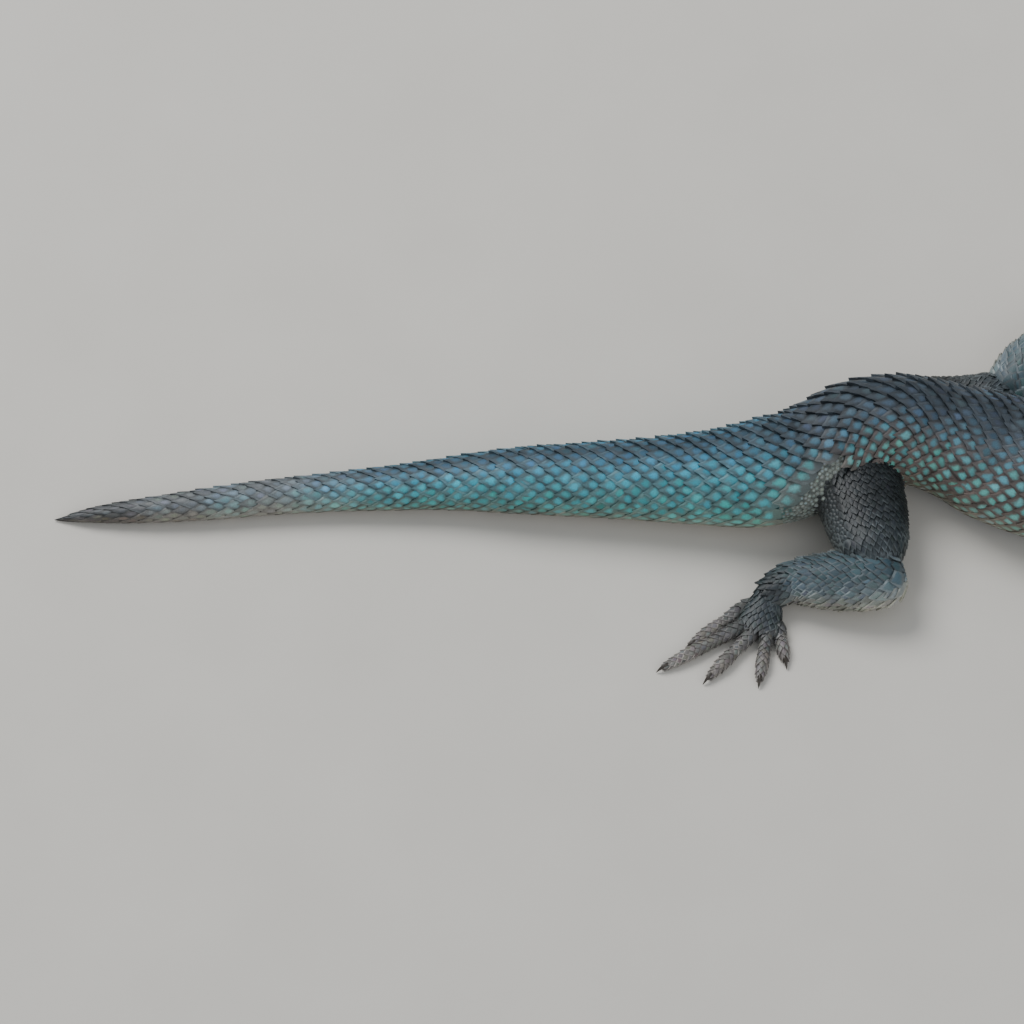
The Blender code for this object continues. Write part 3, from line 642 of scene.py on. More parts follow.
@dataclass
class Claw:
    """One claw: where its toe ends, which way it points and how long it is."""

    end: Array
    heading: Array
    length: float = 2.2


class LimbShape:
    """The sleeves of one limb: upper part, lower part, palm and toes."""

    def __init__(self, sizes: LimbSizes, build: LimbBuild) -> None:
        """Builds the sleeves of the limb.

        Args:
            sizes: the limb's joints and heading.
            build: the girths and toes that it shares with its partner.
        """
        self.sizes = sizes
        self.build = build
        region = Region.HIND if sizes.kind == "hind" else Region.FORE
        self.upper = self._part("upper", region, sizes.upper, build.upper_girth)
        self.lower = self._part("lower", region, sizes.lower, build.lower_girth)
        self.lower_path = Path(spline(sizes.lower, 16))
        self.claws: list[Claw] = []
        heading = math.radians(sizes.heading)
        self.ahead = np.array([math.cos(heading), math.sin(heading)])
        self.inner = np.array([-self.ahead[1], self.ahead[0]]) * (1.0 if sizes.side == "right" else -1.0)
        self.palm = self._palm()
        self.toes = [self._toe(k, *toe) for k, toe in enumerate(build.toes)]

    @property
    def forms(self) -> list[Form]:
        """All the sleeves of the limb."""
        return [self.upper, self.lower, self.palm, *self.toes]

    def _name(self, word: str) -> str:
        """A sleeve's name."""
        return f"{self.sizes.kind}_{self.sizes.side}_{word}"

    def _part(self, word: str, region: Region, knots: Sequence, girth: Sequence) -> Form:
        """The sleeve of the upper or lower part.

        Args:
            word: upper or lower.
            region: the region of the body.
            knots: what its middle line runs through.
            girth: share of the length, half width and half height.

        Returns:
            The form.
        """
        path = Path(spline(knots, 16))
        stations = np.linspace(0.0, path.length, int(path.length / 0.5))
        width, height = (table(girth, column)(stations / path.length) for column in (1, 2))
        return Form(self._name(word), region, stations, oval_outlines(path, stations, width, height, height))

    def _palm(self) -> Form:
        """The sleeve from the wrist or ankle to the roots of the toes.

        Returns:
            The form.
        """
        end = self.lower_path.length
        along, side, up = self.lower_path.frame(end)
        wrist = self.lower_path.at(end)
        across = np.array([*self.inner, 0.0]) * math.copysign(1.0, float(np.dot(self.inner, side[:2])))
        half_width = 0.5 * self.build.palm_width
        # Shares of the palm's length and of its half width, and the height and half thickness there.
        knots = (
            (-0.25, 0.78, 0.0, 2.1), (0.0, 0.78, 0.0, 2.1), (0.34, 0.74, 3.0, 2.1), (0.66, 0.88, 2.4, 1.7),
            (1.0, 0.98, 1.9, 1.35), (1.15, 0.8, 1.7, 1.15),
        )
        last = self.lower.rings[-1]
        wrist_width = 0.96 * np.linalg.norm(last - wrist, axis=1).max()
        stations, outlines = [], []
        angle = FULL_TURN * np.arange(OUTLINE_POINTS) / OUTLINE_POINTS
        for share, spread, height, thick in knots:
            turn_in = smooth((share + 0.1) / 0.5)
            if share <= 0.0:
                centre = wrist + along * share * self.build.palm_length
                width, tall, u_side, u_up = wrist_width, 0.86 * wrist_width, side, up
            else:
                plan = wrist[:2] + self.ahead * self.build.palm_length * share
                centre = np.array([*plan, height])
                width, tall = half_width * spread, thick
                u_side = side * (1 - turn_in) + across * turn_in
                u_side /= np.linalg.norm(u_side)
                u_up = up * (1 - turn_in) + np.array([0.0, 0.0, 1.0]) * turn_in
            stations.append((share + 0.25) * self.build.palm_length)
            aside, upwards = width * np.outer(np.sin(angle), u_side), tall * np.outer(np.cos(angle), u_up)
            outlines.append(centre + aside + upwards)
        fine = spline(np.array(outlines).reshape(len(outlines), -1), 6).reshape(-1, OUTLINE_POINTS, 3)
        fine_stations = spline(np.array(stations)[:, None], 6)[:, 0]
        return Form(self._name("palm"), Region.FOOT, fine_stations, fine)

    def _toe(self, index: int, turn: float, length: float, aside: float, back: float) -> Form:
        """The sleeve of one toe. Its claw is noted for later.

        Args:
            index: the toe's number.
            turn: how far it points inwards, in degrees.
            length: its length.
            aside: how far in its root lies.
            back: how far back its root lies.

        Returns:
            The form.
        """
        palm_end = self.lower_path.at(self.lower_path.length)[:2] + self.ahead * self.build.palm_length
        root = palm_end + self.inner * aside - self.ahead * back
        angle = math.radians(turn)
        heading = self.ahead * math.cos(angle) + self.inner * math.sin(angle)
        tip = root + heading * length
        self.claws.append(Claw(tip, heading))
        shares = np.array([-0.14, 0.16, 0.42, 0.7, 1.0])
        heights = np.array([1.3, 1.45, 1.08, 1.15, 0.75])
        girth = ((0.0, 1.05), (0.26, 1.14), (0.49, 0.94), (0.74, 1.02), (0.92, 0.8), (1.0, 0.62))
        path = Path(spline(np.column_stack([root + np.outer(shares, tip - root), heights]), 12))
        stations = np.linspace(0.0, path.length, max(8, int(path.length / 0.4)))
        radius = self.build.toe_radius * table(girth, 1)(stations / path.length)
        outlines = oval_outlines(path, stations, radius, 0.95 * radius, 0.95 * radius)
        return Form(self._name(f"toe_{index + 1}"), Region.FOOT, stations, outlines)


class Markings:
    """The animal's colours, the same for its skin and its coat.

    Each scale has a bright core and a duller rim. Both are read from the region, the station and the fold,
    which is 0 on the back's middle line and 1 on the belly's. A mark's place is given as within reads it: its
    start, the width of that edge, its end and the width of that edge.
    """

    # The core and the rim colours of each stretch of the body, at folds.
    BANDS = {
        "tail": (
            ((0.0, "#344F60"), (0.07, "#36617A"), (0.15, "#357FA0"), (0.23, "#3699B5"), (0.33, "#38A3B3"),
             (0.45, "#3DA4AC"), (0.58, "#4AA7A8"), (0.66, "#61A59E"), (0.75, "#8CA094"), (0.85, "#A5A296"),
             (1.0, "#B4AFA1")),
            ((0.0, "#333F47"), (0.1, "#3F545F"), (0.2, "#4A6873"), (0.33, "#4F737A"), (0.56, "#56746F"),
             (0.67, "#6A786F"), (0.78, "#857F73"), (1.0, "#979081")),
        ),
        "trunk": (
            ((0.0, "#38444E"), (0.1, "#425260"), (0.2, "#486476"), (0.3, "#4F8493"), (0.4, "#58A3A3"),
             (0.52, "#5EA6A1"), (0.64, "#75A59A"), (0.74, "#939F8E"), (0.83, "#AAA794"), (1.0, "#B8B2A4")),
            ((0.0, "#2C3339"), (0.12, "#373F46"), (0.24, "#484C50"), (0.38, "#554E4B"), (0.55, "#5F5550"),
             (0.68, "#716A5E"), (0.82, "#8B8474"), (1.0, "#9B9384")),
        ),
        "head": (
            ((0.0, "#72766C"), (0.25, "#6B7269"), (0.42, "#7A8278"), (0.55, "#8D958C"), (0.7, "#8FA3A4"),
             (1.0, "#9AA8A8")),
            ((0.0, "#45433B"), (0.3, "#424137"), (0.5, "#5B5C52"), (0.7, "#6A7674"), (1.0, "#78817E")),
        ),
        "limb": (
            ((0.0, "#55636B"), (0.3, "#5A6970"), (0.55, "#7B8687"), (0.8, "#A3A498"), (1.0, "#ACA99B")),
            ((0.0, "#6A757B"), (0.3, "#737D80"), (0.55, "#838985"), (0.8, "#8F8D80"), (1.0, "#969183")),
        ),
    }
    # The bands lean this far toward the left side from the chest on, because the photo shows them so.
    PATTERN_TURN = math.radians(25.0)
    LEAN = (36.0, 30.0)
    TRUNK_TO_TAIL = (108.0, 20.0)
    # How light the flanks are beside the bands, at stations.
    LOW_FOLD = (0.46, 0.14)
    LOW_LIGHT = ((112.0, 1.0), (123.0, 1.35), (135.0, 1.1), (149.0, 0.9), (168.0, 0.75), (200.0, 0.95))
    # How much of the blue the end of the tail keeps, and how light it is, at stations.
    TAIL_BLUE_SHARE = (
        (186.0, 1.0), (194.0, 0.92), (200.0, 0.72), (205.0, 0.62), (209.5, 0.3), (214.5, 0.1), (219.0, 0.36),
        (222.5, 0.42), (227.5, 0.08), (231.0, 0.03), (234.0, 0.14), (238.0, 0.0), (254.0, 0.0),
    )
    TAIL_LIGHT = (
        (200.0, 1.0), (205.0, 1.1), (214.5, 0.8), (222.0, 1.06), (228.0, 0.64), (234.0, 0.76), (240.0, 0.4),
        (254.0, 0.34),
    )
    DISTAL_CORE, DISTAL_RIM, DISTAL_BELLY = "#84898C", "#6B6F71", "#A0968A"
    DISTAL_BELOW = (0.26, 0.25)
    GROIN_CORE, GROIN_RIM = "#8E9A96", "#747972"
    # The wedge of pebbled skin: its station, the fold where it starts, its flare and its half length.
    GROIN_RIGHT, GROIN_LEFT = (112.0, 0.13, 0.03), (105.0, 0.46, 0.021)
    GROIN_BELOW, GROIN_LENGTH, GROIN_END = 0.86, 9.0, 0.04
    BELLY_BLUE, THROAT_BLUE, BLACK = "#1C6A9C", "#2F83A8", "#14171A"
    PATCH_STATIONS = (44.0, 6.0, 96.0, 6.0)
    PATCH_FOLDS, PATCH_BORDER = (0.64, 0.05, 0.88, 0.04), (0.84, 0.03, 0.94, 0.03)
    WEDGE_STATIONS, WEDGE_FOLDS = (35.5, 1.5, 42.5, 2.0), (0.22, 0.08, 0.8, 0.1)
    BAR_PITCH, FORE_BAR_PITCH = 12.5, 5.6
    EYE_STRIPE = (0.3, 0.04, 0.42, 0.04)
    SHANK_TEAL, SHANK_SIDE, TOE_DUST = "#3F6F7A", "#87806F", "#918B86"

    def __init__(self) -> None:
        """Turns the bands' colours into linear values."""
        self.bands = {name: [self._band(stops) for stops in pair] for name, pair in self.BANDS.items()}

    @staticmethod
    def _band(stops: Sequence[tuple[float, str]]) -> Callable[[Array], Array]:
        """A function that reads a row of colour stops."""
        places = [stop[0] for stop in stops]
        colours = np.array([linear(stop[1]) for stop in stops])
        return lambda x: np.stack([np.interp(x, places, colours[:, k]) for k in range(3)], axis=-1)

    @staticmethod
    def _mix(first: Array, second: Array | str, share: Array) -> Array:
        """Blends two sets of colours by a share for each.

        Args:
            first: the first colours.
            second: the second ones, or one hex colour.
            share: how much of the second each gets.

        Returns:
            The blended colours.
        """
        if isinstance(second, str):
            second = np.array(linear(second))
        share = np.asarray(share)[..., None]
        return first * (1 - share) + second * share

    def _read(self, name: str, fold: Array) -> list[Array]:
        """The core and rim colours of one stretch of the body."""
        return [band(fold) for band in self.bands[name]]

    def paint(self, form: Form, station: Array, turn: Array) -> tuple[Array, Array]:
        """The core and rim colours of scales.

        Args:
            form: the form that carries them.
            station: each scale's station.
            turn: each scale's turn.

        Returns:
            The core colours and the rim colours, each as an array by 3.
        """
        fold = fold_of(turn)
        if form.region is Region.SPINE:
            return self._paint_spine(station, turn, fold)
        if form.region is Region.HEAD:
            return self._paint_head(station, fold)
        return self._paint_limb(form, station / form.end, station, fold)

    def _paint_spine(self, station: Array, turn: Array, fold: Array) -> tuple[Array, Array]:
        """The neck, the trunk and the tail.

        Args:
            station: the places' stations.
            turn: their turns.
            fold: their folds.

        Returns:
            The core colours and the rim colours.
        """
        banded = fold_of(turn + self.PATTERN_TURN * fade_in(station, *self.LEAN))
        tail = fade_in(station, *self.TRUNK_TO_TAIL)
        low = fade_in(banded, *self.LOW_FOLD) * (np.interp(station, *zip(*self.LOW_LIGHT)) - 1.0)
        core, rim = (
            self._mix(ahead, behind, tail) * (1.0 + low)[..., None]
            for ahead, behind in zip(self._read("trunk", banded), self._read("tail", banded))
        )
        near = fade_in(self.into_groin(station, turn), -0.04, 0.1)
        return self._distal(station, banded, *self.pebbled(*self._front(station, fold, core, rim), near))

    def _front(self, station: Array, fold: Array, core: Array, rim: Array) -> tuple[Array, Array]:
        """What marks the trunk and neck: dusky bars, blue belly patches, throat and shoulder wedge.

        Args:
            station: the places' stations.
            fold: their folds.
            core: the core colours there.
            rim: the rim colours there.

        Returns:
            The core colours and the rim colours.
        """
        bars = fade_in(np.cos(FULL_TURN * station / self.BAR_PITCH), 0.15, 0.6) * fade_out(fold, 0.34, 0.12)
        core = core * (1.0 - 0.34 * fade_out(station, 104.0, 8.0) * bars)[..., None]
        patch = within(station, *self.PATCH_STATIONS)
        inside = patch * within(fold, *self.PATCH_FOLDS)
        core, rim = self._mix(core, self.BELLY_BLUE, 0.92 * inside), self._mix(rim, self.BLACK, 0.7 * inside)
        border = patch * within(fold, *self.PATCH_BORDER)
        core, rim = (self._mix(colour, self.BLACK, 0.75 * border) for colour in (core, rim))
        nape = fade_out(station, 44.0, 18.0)
        core, rim = (self._mix(*pair, nape) for pair in zip((core, rim), self._read("head", fold)))
        throat = fade_out(station, 35.0, 5.0) * fade_in(fold, 0.66, 0.1)
        core = self._mix(core, self.THROAT_BLUE, 0.75 * throat)
        wedge = within(station, *self.WEDGE_STATIONS) * within(fold, *self.WEDGE_FOLDS)
        return self._mix(core, self.BLACK, 0.92 * wedge), self._mix(rim, self.BLACK, 0.92 * wedge)

    @classmethod
    def into_groin(cls, station: Array, turn: Array) -> Array:
        """How far a place lies inside the pebbled wedge behind the thigh, as a share of fold.

        Args:
            station: the places' stations.
            turn: their turns. The wedge is smaller on the left, where the thigh is set forward.

        Returns:
            The share, above 0 inside the wedge.
        """
        left = (turn / FULL_TURN) % 1.0 > 0.5
        middle, top, flare = (np.where(left, *pair) for pair in zip(cls.GROIN_LEFT, cls.GROIN_RIGHT))
        away, fold = np.abs(station - middle), fold_of(turn)
        wedge = np.minimum(fold - top - flare * away, cls.GROIN_BELOW - fold)
        return np.minimum(wedge, cls.GROIN_END * (cls.GROIN_LENGTH - away))

    def pebbled(self, core: Array, rim: Array, share: Array) -> tuple[Array, Array]:
        """Colours turned by a share into those of pebbled skin."""
        return self._mix(core, self.GROIN_CORE, share), self._mix(rim, self.GROIN_RIM, share)

    def _distal(self, station: Array, fold: Array, core: Array, rim: Array) -> tuple[Array, Array]:
        """The grey-brown end of the tail with its soft blue-grey rings.

        Args:
            station: the places' stations.
            fold: their folds.
            core: the core colours there.
            rim: the rim colours there.

        Returns:
            The core colours and the rim colours.
        """
        blue = np.interp(station, *zip(*self.TAIL_BLUE_SHARE))
        light = np.interp(station, *zip(*self.TAIL_LIGHT))[..., None]
        below = fade_in(fold, *self.DISTAL_BELOW)
        made = []
        for colour, code, share in ((core, self.DISTAL_CORE, 1.0), (rim, self.DISTAL_RIM, 0.6)):
            grey = self._mix(np.broadcast_to(linear(code), colour.shape), self.DISTAL_BELLY, share * below)
            made.append(self._mix(grey, colour, blue) * light)
        return made[0], made[1]

    def _paint_head(self, station: Array, fold: Array) -> tuple[Array, Array]:
        """The head: grey-brown above, paler at the lips and blue on the throat.

        Args:
            station: the places' stations.
            fold: their folds.

        Returns:
            The core colours and the rim colours.
        """
        core, rim = self._read("head", fold)
        core = self._mix(core, self.THROAT_BLUE, 0.7 * fade_in(fold, 0.7, 0.1) * fade_in(station, 8.0, 8.0))
        stripe = fade_in(station, 15.0, 2.0) * within(fold, *self.EYE_STRIPE)
        return self._mix(core, self.BLACK, 0.45 * stripe), self._mix(rim, self.BLACK, 0.4 * stripe)

    def _paint_limb(self, form: Form, share: Array, station: Array, fold: Array) -> tuple[Array, Array]:
        """The limbs and feet: slate above, paler beneath, barred in front, and dusty on the toes.

        Args:
            form: the limb's form.
            share: how far along it each place lies, from 0 to 1.
            station: the places' stations.
            fold: their folds.

        Returns:
            The core colours and the rim colours.
        """
        core, rim = self._read("limb", fold)
        if form.region is Region.FORE:
            wave = np.cos(FULL_TURN * station / self.FORE_BAR_PITCH)
            bars = fade_in(wave, 0.1, 0.5) * fade_out(fold, 0.6, 0.2)
            return core * (1.0 - 0.42 * bars)[..., None], rim * (0.8 - 0.3 * bars)[..., None]
        if form.region is Region.FOOT:
            toe = "toe" in form.name
            dusty = 0.25 + 0.75 * smooth(1.3 * share) if toe else 0.25 * smooth(3.0 * share - 2.0)
            core, rim = (self._mix(0.3 * colour, self.TOE_DUST, most * dusty)
                         for colour, most in ((core, 0.62), (1.15 * rim, 0.92)))
        elif "upper" in form.name:
            toward_knee, beneath = fade_in(share, 0.5, 0.4)[..., None], fade_in(fold, 0.66, 0.16)[..., None]
            core = core * (0.11 + 0.12 * toward_knee + 0.6 * beneath)
            rim = rim * (0.14 + 0.33 * toward_knee + 0.45 * beneath)
        else:
            toward_foot, lower = fade_in(share, 0.72, 0.2), fade_in(fold, 0.06, 0.3)
            core = core * ((0.42 + 0.5 * lower) * (1.0 - 0.6 * toward_foot))[..., None]
            rim = rim * ((0.5 + 0.5 * lower) * (1.0 - 0.7 * toward_foot))[..., None]
            core = self._mix(core, self.SHANK_TEAL, 0.24 * (1.0 - lower) * (1.0 - toward_foot))
            sandy = 0.55 * fade_in(fold, 0.28, 0.24) * (1.0 - toward_foot)
            worn = (1.0 + 0.45 * lower * fade_out(share, 0.42, 0.3))[..., None]
            core, rim = (self._mix(colour, self.SHANK_SIDE, sandy) * worn for colour in (core, rim))
        return core, rim


class ScaleShape:
    """One scale as a closed mesh, made once and copied.

    Attributes:
        across: each corner's place across the scale, from -1 to 1.
        along: its place from the root, 0, to the rear edge, 1.
        lower: whether it belongs to the underside.
        loops: the corners of all faces in order.
        totals: how many corners each face has.
    """

    def __init__(self, cells: int) -> None:
        """Makes the mesh from a grid whose edge is drawn down and closed.

        Args:
            cells: faces along each side of the upper surface.
        """
        bm = bmesh.new()
        bmesh.ops.create_grid(bm, x_segments=cells, y_segments=cells, size=1.0)
        made = bmesh.ops.extrude_edge_only(bm, edges=[edge for edge in bm.edges if edge.is_boundary])
        lower = [part for part in made["geom"] if isinstance(part, BMVert)]
        bmesh.ops.translate(bm, vec=(0.0, 0.0, -1.0), verts=lower)
        bmesh.ops.holes_fill(bm, edges=[edge for edge in bm.edges if edge.is_boundary], sides=0)
        bmesh.ops.recalc_face_normals(bm, faces=bm.faces)
        corners = np.array([vertex.co for vertex in bm.verts])
        self.across = corners[:, 0]
        self.along = 0.5 * (corners[:, 1] + 1.0)
        self.lower = corners[:, 2] < -0.5
        self.loops = np.array([vertex.index for face in bm.faces for vertex in face.verts])
        self.totals = np.array([len(face.verts) for face in bm.faces])
        bm.free()

    def disc(self) -> tuple[Array, Array, Array]:
        """The corners drawn into a round plate: along, across and the distance from its middle."""
        x, y = 2.0 * self.along - 1.0, self.across
        along, across = x * np.sqrt(1.0 - 0.5 * y**2), y * np.sqrt(1.0 - 0.5 * x**2)
        return along, across, np.hypot(along, across)


@dataclass
class Lay:
    """How the scales of one patch are shaped, in millimetres. A value is one number or one for each scale.

    Attributes:
        length: from root to tip.
        half_width: half the greatest width.
        tilt: how far the rear edge stands above the root.
        thick: the thickness at the middle of the rear edge.
        keel: the height of the ridge along the middle.
        point: how far the keel runs out in a point behind, as a share of the length.
        droop: how far the sides' rear corners stay forward of the tip, as a share of the length.
        root: the width at the root as a share of the greatest width.
        sink: how deep the root is set.
    """

    length: Array | float
    half_width: Array | float
    tilt: Array | float = 0.5
    thick: Array | float = 0.2
    keel: Array | float = 0.2
    point: float = 0.12
    droop: float = 0.42
    root: float = 0.6
    sink: float = 0.15

    PER_SCALE = ("length", "half_width", "tilt", "thick", "keel")

    def per_scale(self, number: int) -> dict[str, Array]:
        """The sizes as one array each, with one value for each scale."""
        values = {name: np.asarray(getattr(self, name), float) for name in self.PER_SCALE}
        return {name: np.broadcast_to(value, number).copy() for name, value in values.items()}

    def local(self, shape: ScaleShape) -> tuple[Array, Array, Array]:
        """Distances along, across and up of all corners, as scales by corners.

        Args:
            shape: the scale's mesh.

        Returns:
            The three distances in millimetres.
        """
        length, half_width, tilt, thick, keel = (
            np.atleast_1d(np.asarray(getattr(self, name), float))[:, None] for name in self.PER_SCALE
        )
        p, q = shape.across[None], shape.along[None]
        side = np.abs(p)
        u = p * (self.root + (1.0 - self.root) * np.sin(0.5 * math.pi * np.clip(q / 0.7, 0.0, 1.0)))
        v = q * (1.0 - self.droop * side**1.3) + self.point * (q > 0.99) * (side < 0.01)
        dome = thick * (0.35 + 0.65 * q) * (1.0 - 0.65 * side**2.5)
        ridge = keel * (1.0 - side) ** 1.6 * (0.3 + 0.7 * q)
        up = tilt * v - self.sink + np.where(shape.lower[None], -Coat.UNDERSIDE, dome + ridge)
        narrow = np.where(shape.lower[None], 0.9, 1.0)
        return v * length, u * narrow * half_width, up


class Coat:
    """Scales joined into one piece, with their colours and their places on the skin's unwrap."""

    # How deep a scale's underside lies, half its patch on the unwrap, the least height over the floor, and
    # the angle from which an edge is sharp.
    UNDERSIDE = 0.16
    PATCH = 0.0015
    LOWEST = 0.02
    SHARP_EDGE = math.radians(52.0)

    def __init__(self, name: str) -> None:
        """Starts an empty coat."""
        self.name = name
        self.points: list[Array] = []
        self.loops: list[Array] = []
        self.totals: list[Array] = []
        self.unwraps: list[Array] = []
        self.looks: dict[str, list[Array]] = {"Core": [], "Rim": [], "Across": [], "Along": []}
        self.corners = 0

    def add(
        self, shape: ScaleShape, points: Array, core: Array, rim: Array, unwrap: Array,
        round_plate: bool = False,
    ) -> None:
        """Adds scales whose corners are known.

        Args:
            shape: the scale's mesh.
            points: corners in millimetres, as scales by corners by 3.
            core: each scale's core colour.
            rim: each scale's rim colour.
            unwrap: each scale's root on the skin's unwrap.
            round_plate: whether the scale is a round plate.
        """
        number, count = points.shape[:2]
        points = points.copy()
        points[..., 2] = np.maximum(points[..., 2], self.LOWEST)
        self.points.append(points.reshape(-1, 3))
        starts = self.corners + count * np.arange(number)
        self.loops.append((shape.loops[None] + starts[:, None]).reshape(-1))
        self.totals.append(np.tile(shape.totals, number))
        offsets = self.PATCH * np.stack([2.0 * shape.along - 1.0, shape.across], axis=-1)
        spots = unwrap[:, None] + offsets[None]
        self.unwraps.append(spots[:, shape.loops].reshape(-1, 2))
        self.looks["Core"].append(np.repeat(core, count, axis=0))
        self.looks["Rim"].append(np.repeat(rim, count, axis=0))
        across, along = shape.across, (shape.along - SPOT_PLACE) / (1.0 - SPOT_PLACE)
        if round_plate:
            along, across, _ = shape.disc()
        across = np.where(shape.lower, 1.0, across)
        self.looks["Across"].append(np.tile(across, number))
        self.looks["Along"].append(np.tile(along, number))
        self.corners += number * count

    def build(self, material: Material, slot: str) -> Object:
        """Makes the piece.

        Args:
            material: its material.
            slot: the name of a material slot; it is not used.

        Returns:
            The finished object, riding on the root body.
        """
        mesh = bpy.data.meshes.new(self.name)
        points = np.concatenate(self.points) * MM
        loops = np.concatenate(self.loops)
        totals = np.concatenate(self.totals)
        mesh.vertices.add(len(points))
        mesh.vertices.foreach_set("co", points.astype(np.float32).ravel())
        mesh.loops.add(len(loops))
        mesh.loops.foreach_set("vertex_index", loops.astype(np.int32))
        mesh.polygons.add(len(totals))
        starts = np.concatenate([[0], np.cumsum(totals)[:-1]])
        mesh.polygons.foreach_set("loop_start", starts.astype(np.int32))
        mesh.update(calc_edges=True)
        uv = mesh.uv_layers.new(name="OFBake")
        uv.data.foreach_set("uv", np.concatenate(self.unwraps).astype(np.float32).ravel())
        give_looks(mesh, **{name: np.concatenate(values) for name, values in self.looks.items()})
        mesh.materials.append(material)
        mesh.shade_smooth()
        mesh.set_sharp_from_angle(angle=self.SHARP_EDGE)
        log.info("%s: %d triangles", self.name, int((totals - 2).sum()))
        return finish_piece(self.name, mesh)


def finish_piece(name: str, mesh: Mesh) -> Object:
    """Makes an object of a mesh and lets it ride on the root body.

    Args:
        name: the piece's name.
        mesh: its mesh.

    Returns:
        The finished object.
    """
    piece = bpy.data.objects.new(name, mesh)
    bpy.context.scene.collection.objects.link(piece)
    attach(piece, "root")
    log.info("%s: %d faces", name, len(mesh.polygons))
    return piece


def mesh_of(bm: BMesh, name: str) -> Mesh:
    """Makes a mesh of a bmesh and frees the bmesh."""
    mesh = bpy.data.meshes.new(name)
    bm.to_mesh(mesh)
    bm.free()
    return mesh


def add_part(whole: BMesh, part: BMesh) -> None:
    """Adds one bmesh to another and frees it."""
    mesh = mesh_of(part, "part")
    whole.from_mesh(mesh)
    bpy.data.meshes.remove(mesh)


def close_sleeve(bm: BMesh) -> None:
    """Joins the sides of a grid that was bent round, fills its ends and turns its faces outwards."""
    bmesh.ops.remove_doubles(bm, verts=bm.verts, dist=1e-7)
    bmesh.ops.holes_fill(bm, edges=[edge for edge in bm.edges if edge.is_boundary], sides=0)
    bmesh.ops.recalc_face_normals(bm, faces=bm.faces)


def tree_of(points: Array) -> KDTree:
    """A tree that finds the nearest of some points."""
    tree = KDTree(len(points))
    for k, point in enumerate(points):
        tree.insert(point, k)
    tree.balance()
    return tree


def sleeve(form: Form, step: float, count: int, depth: float) -> BMesh:
    """A closed mesh of a form, a little inside its surface.

    Args:
        form: the form.
        step: the distance between rings.
        count: the points of each ring.
        depth: how far inside the surface it lies.

    Returns:
        A bmesh in metres.
    """
    bm = bmesh.new()
    rows = max(4, int((form.end - form.start) / step))
    bmesh.ops.create_grid(bm, x_segments=rows, y_segments=count, size=1.0)
    places = np.array([vertex.co for vertex in bm.verts])
    station = form.start + 0.5 * (places[:, 0] + 1.0) * (form.end - form.start)
    points = form.at(station, (places[:, 1] + 1.0) * math.pi, -depth) * MM
    for vertex, point in zip(bm.verts, points):
        vertex.co = point
    close_sleeve(bm)
    return bm


def give_looks(mesh: Mesh, **looks: Array) -> None:
    """Writes colours and values of corners to a mesh, each as an attribute of its own name.

    Args:
        mesh: the mesh.
        looks: for each name, a colour or a value for each corner.
    """
    for name, values in looks.items():
        if values.ndim == 2:
            layer = mesh.attributes.new(name, "FLOAT_COLOR", "POINT")
            full = np.column_stack([values, np.ones(len(values))])
            layer.data.foreach_set("color", full.astype(np.float32).ravel())
        else:
            layer = mesh.attributes.new(name, "FLOAT", "POINT")
            layer.data.foreach_set("value", values.astype(np.float32))


class Animal:
    """The forms of the whole body, and their places on the unwrap of the skin."""

    def __init__(self) -> None:
        """Builds all forms and lays out the unwrap."""
        self.spine_sizes = SpineSizes()
        self.spine_path = self.spine_sizes.path()
        self.spine = self.spine_sizes.form(self.spine_path)
        self.head = HeadShape(HeadSizes(), self.spine_path)
        self.limbs = [LimbShape(sizes, BUILDS[sizes.kind]) for sizes in LIMBS]
        self.forms = [self.spine, self.head.form, *(form for limb in self.limbs for form in limb.forms)]
        self._lay_out()
        self._sample()

    def _lay_out(self) -> None:
        """Gives each form its own rectangle of the unwrap: spine and head at the bottom, limbs above."""
        self.spine.atlas = (0.005, 0.01, 0.99, 0.33)
        self.head.form.atlas = (0.005, 0.36, 0.2, 0.3)
        for k, limb in enumerate(self.limbs):
            row, column = divmod(k, 2)
            left, bottom = 0.22 + 0.39 * column, 0.36 + 0.15 * row
            limb.upper.atlas = (left, bottom, 0.18, 0.13)
            limb.lower.atlas = (left + 0.19, bottom, 0.18, 0.13)
            left, bottom = 0.005 + 0.25 * k, 0.68
            limb.palm.atlas = (left, bottom, 0.23, 0.05)
            for n, toe in enumerate(limb.toes):
                toe.atlas = (left, bottom + 0.06 + 0.05 * n, 0.23, 0.04)

    def _sample(self) -> None:
        """Spreads points over all forms, so that a place of the skin finds the form that it belongs to."""
        places, owners, stations, turns = [], [], [], []
        columns = np.arange(0, Form.RING_POINTS, 2)
        for number, form in enumerate(self.forms):
            rows = np.arange(0, len(form.stations), 2 if form is self.spine else 1)
            places.append(form.rings[np.ix_(rows, columns)].reshape(-1, 3))
            stations.append(np.repeat(form.stations[rows], len(columns)))
            turns.append(np.tile(FULL_TURN * columns / Form.RING_POINTS, len(rows)))
            owners.append(np.full(len(rows) * len(columns), number))
        self._owners, self._stations, self._turns = (np.concatenate(v) for v in (owners, stations, turns))
        self._tree = tree_of(np.concatenate(places))

    def owners(self, points: Array) -> tuple[Array, Array, Array]:
        """The number of the nearest form, its station and its turn, for each point."""
        nearest = np.array([self._tree.find(point)[1] for point in points])
        return self._owners[nearest], self._stations[nearest], self._turns[nearest]


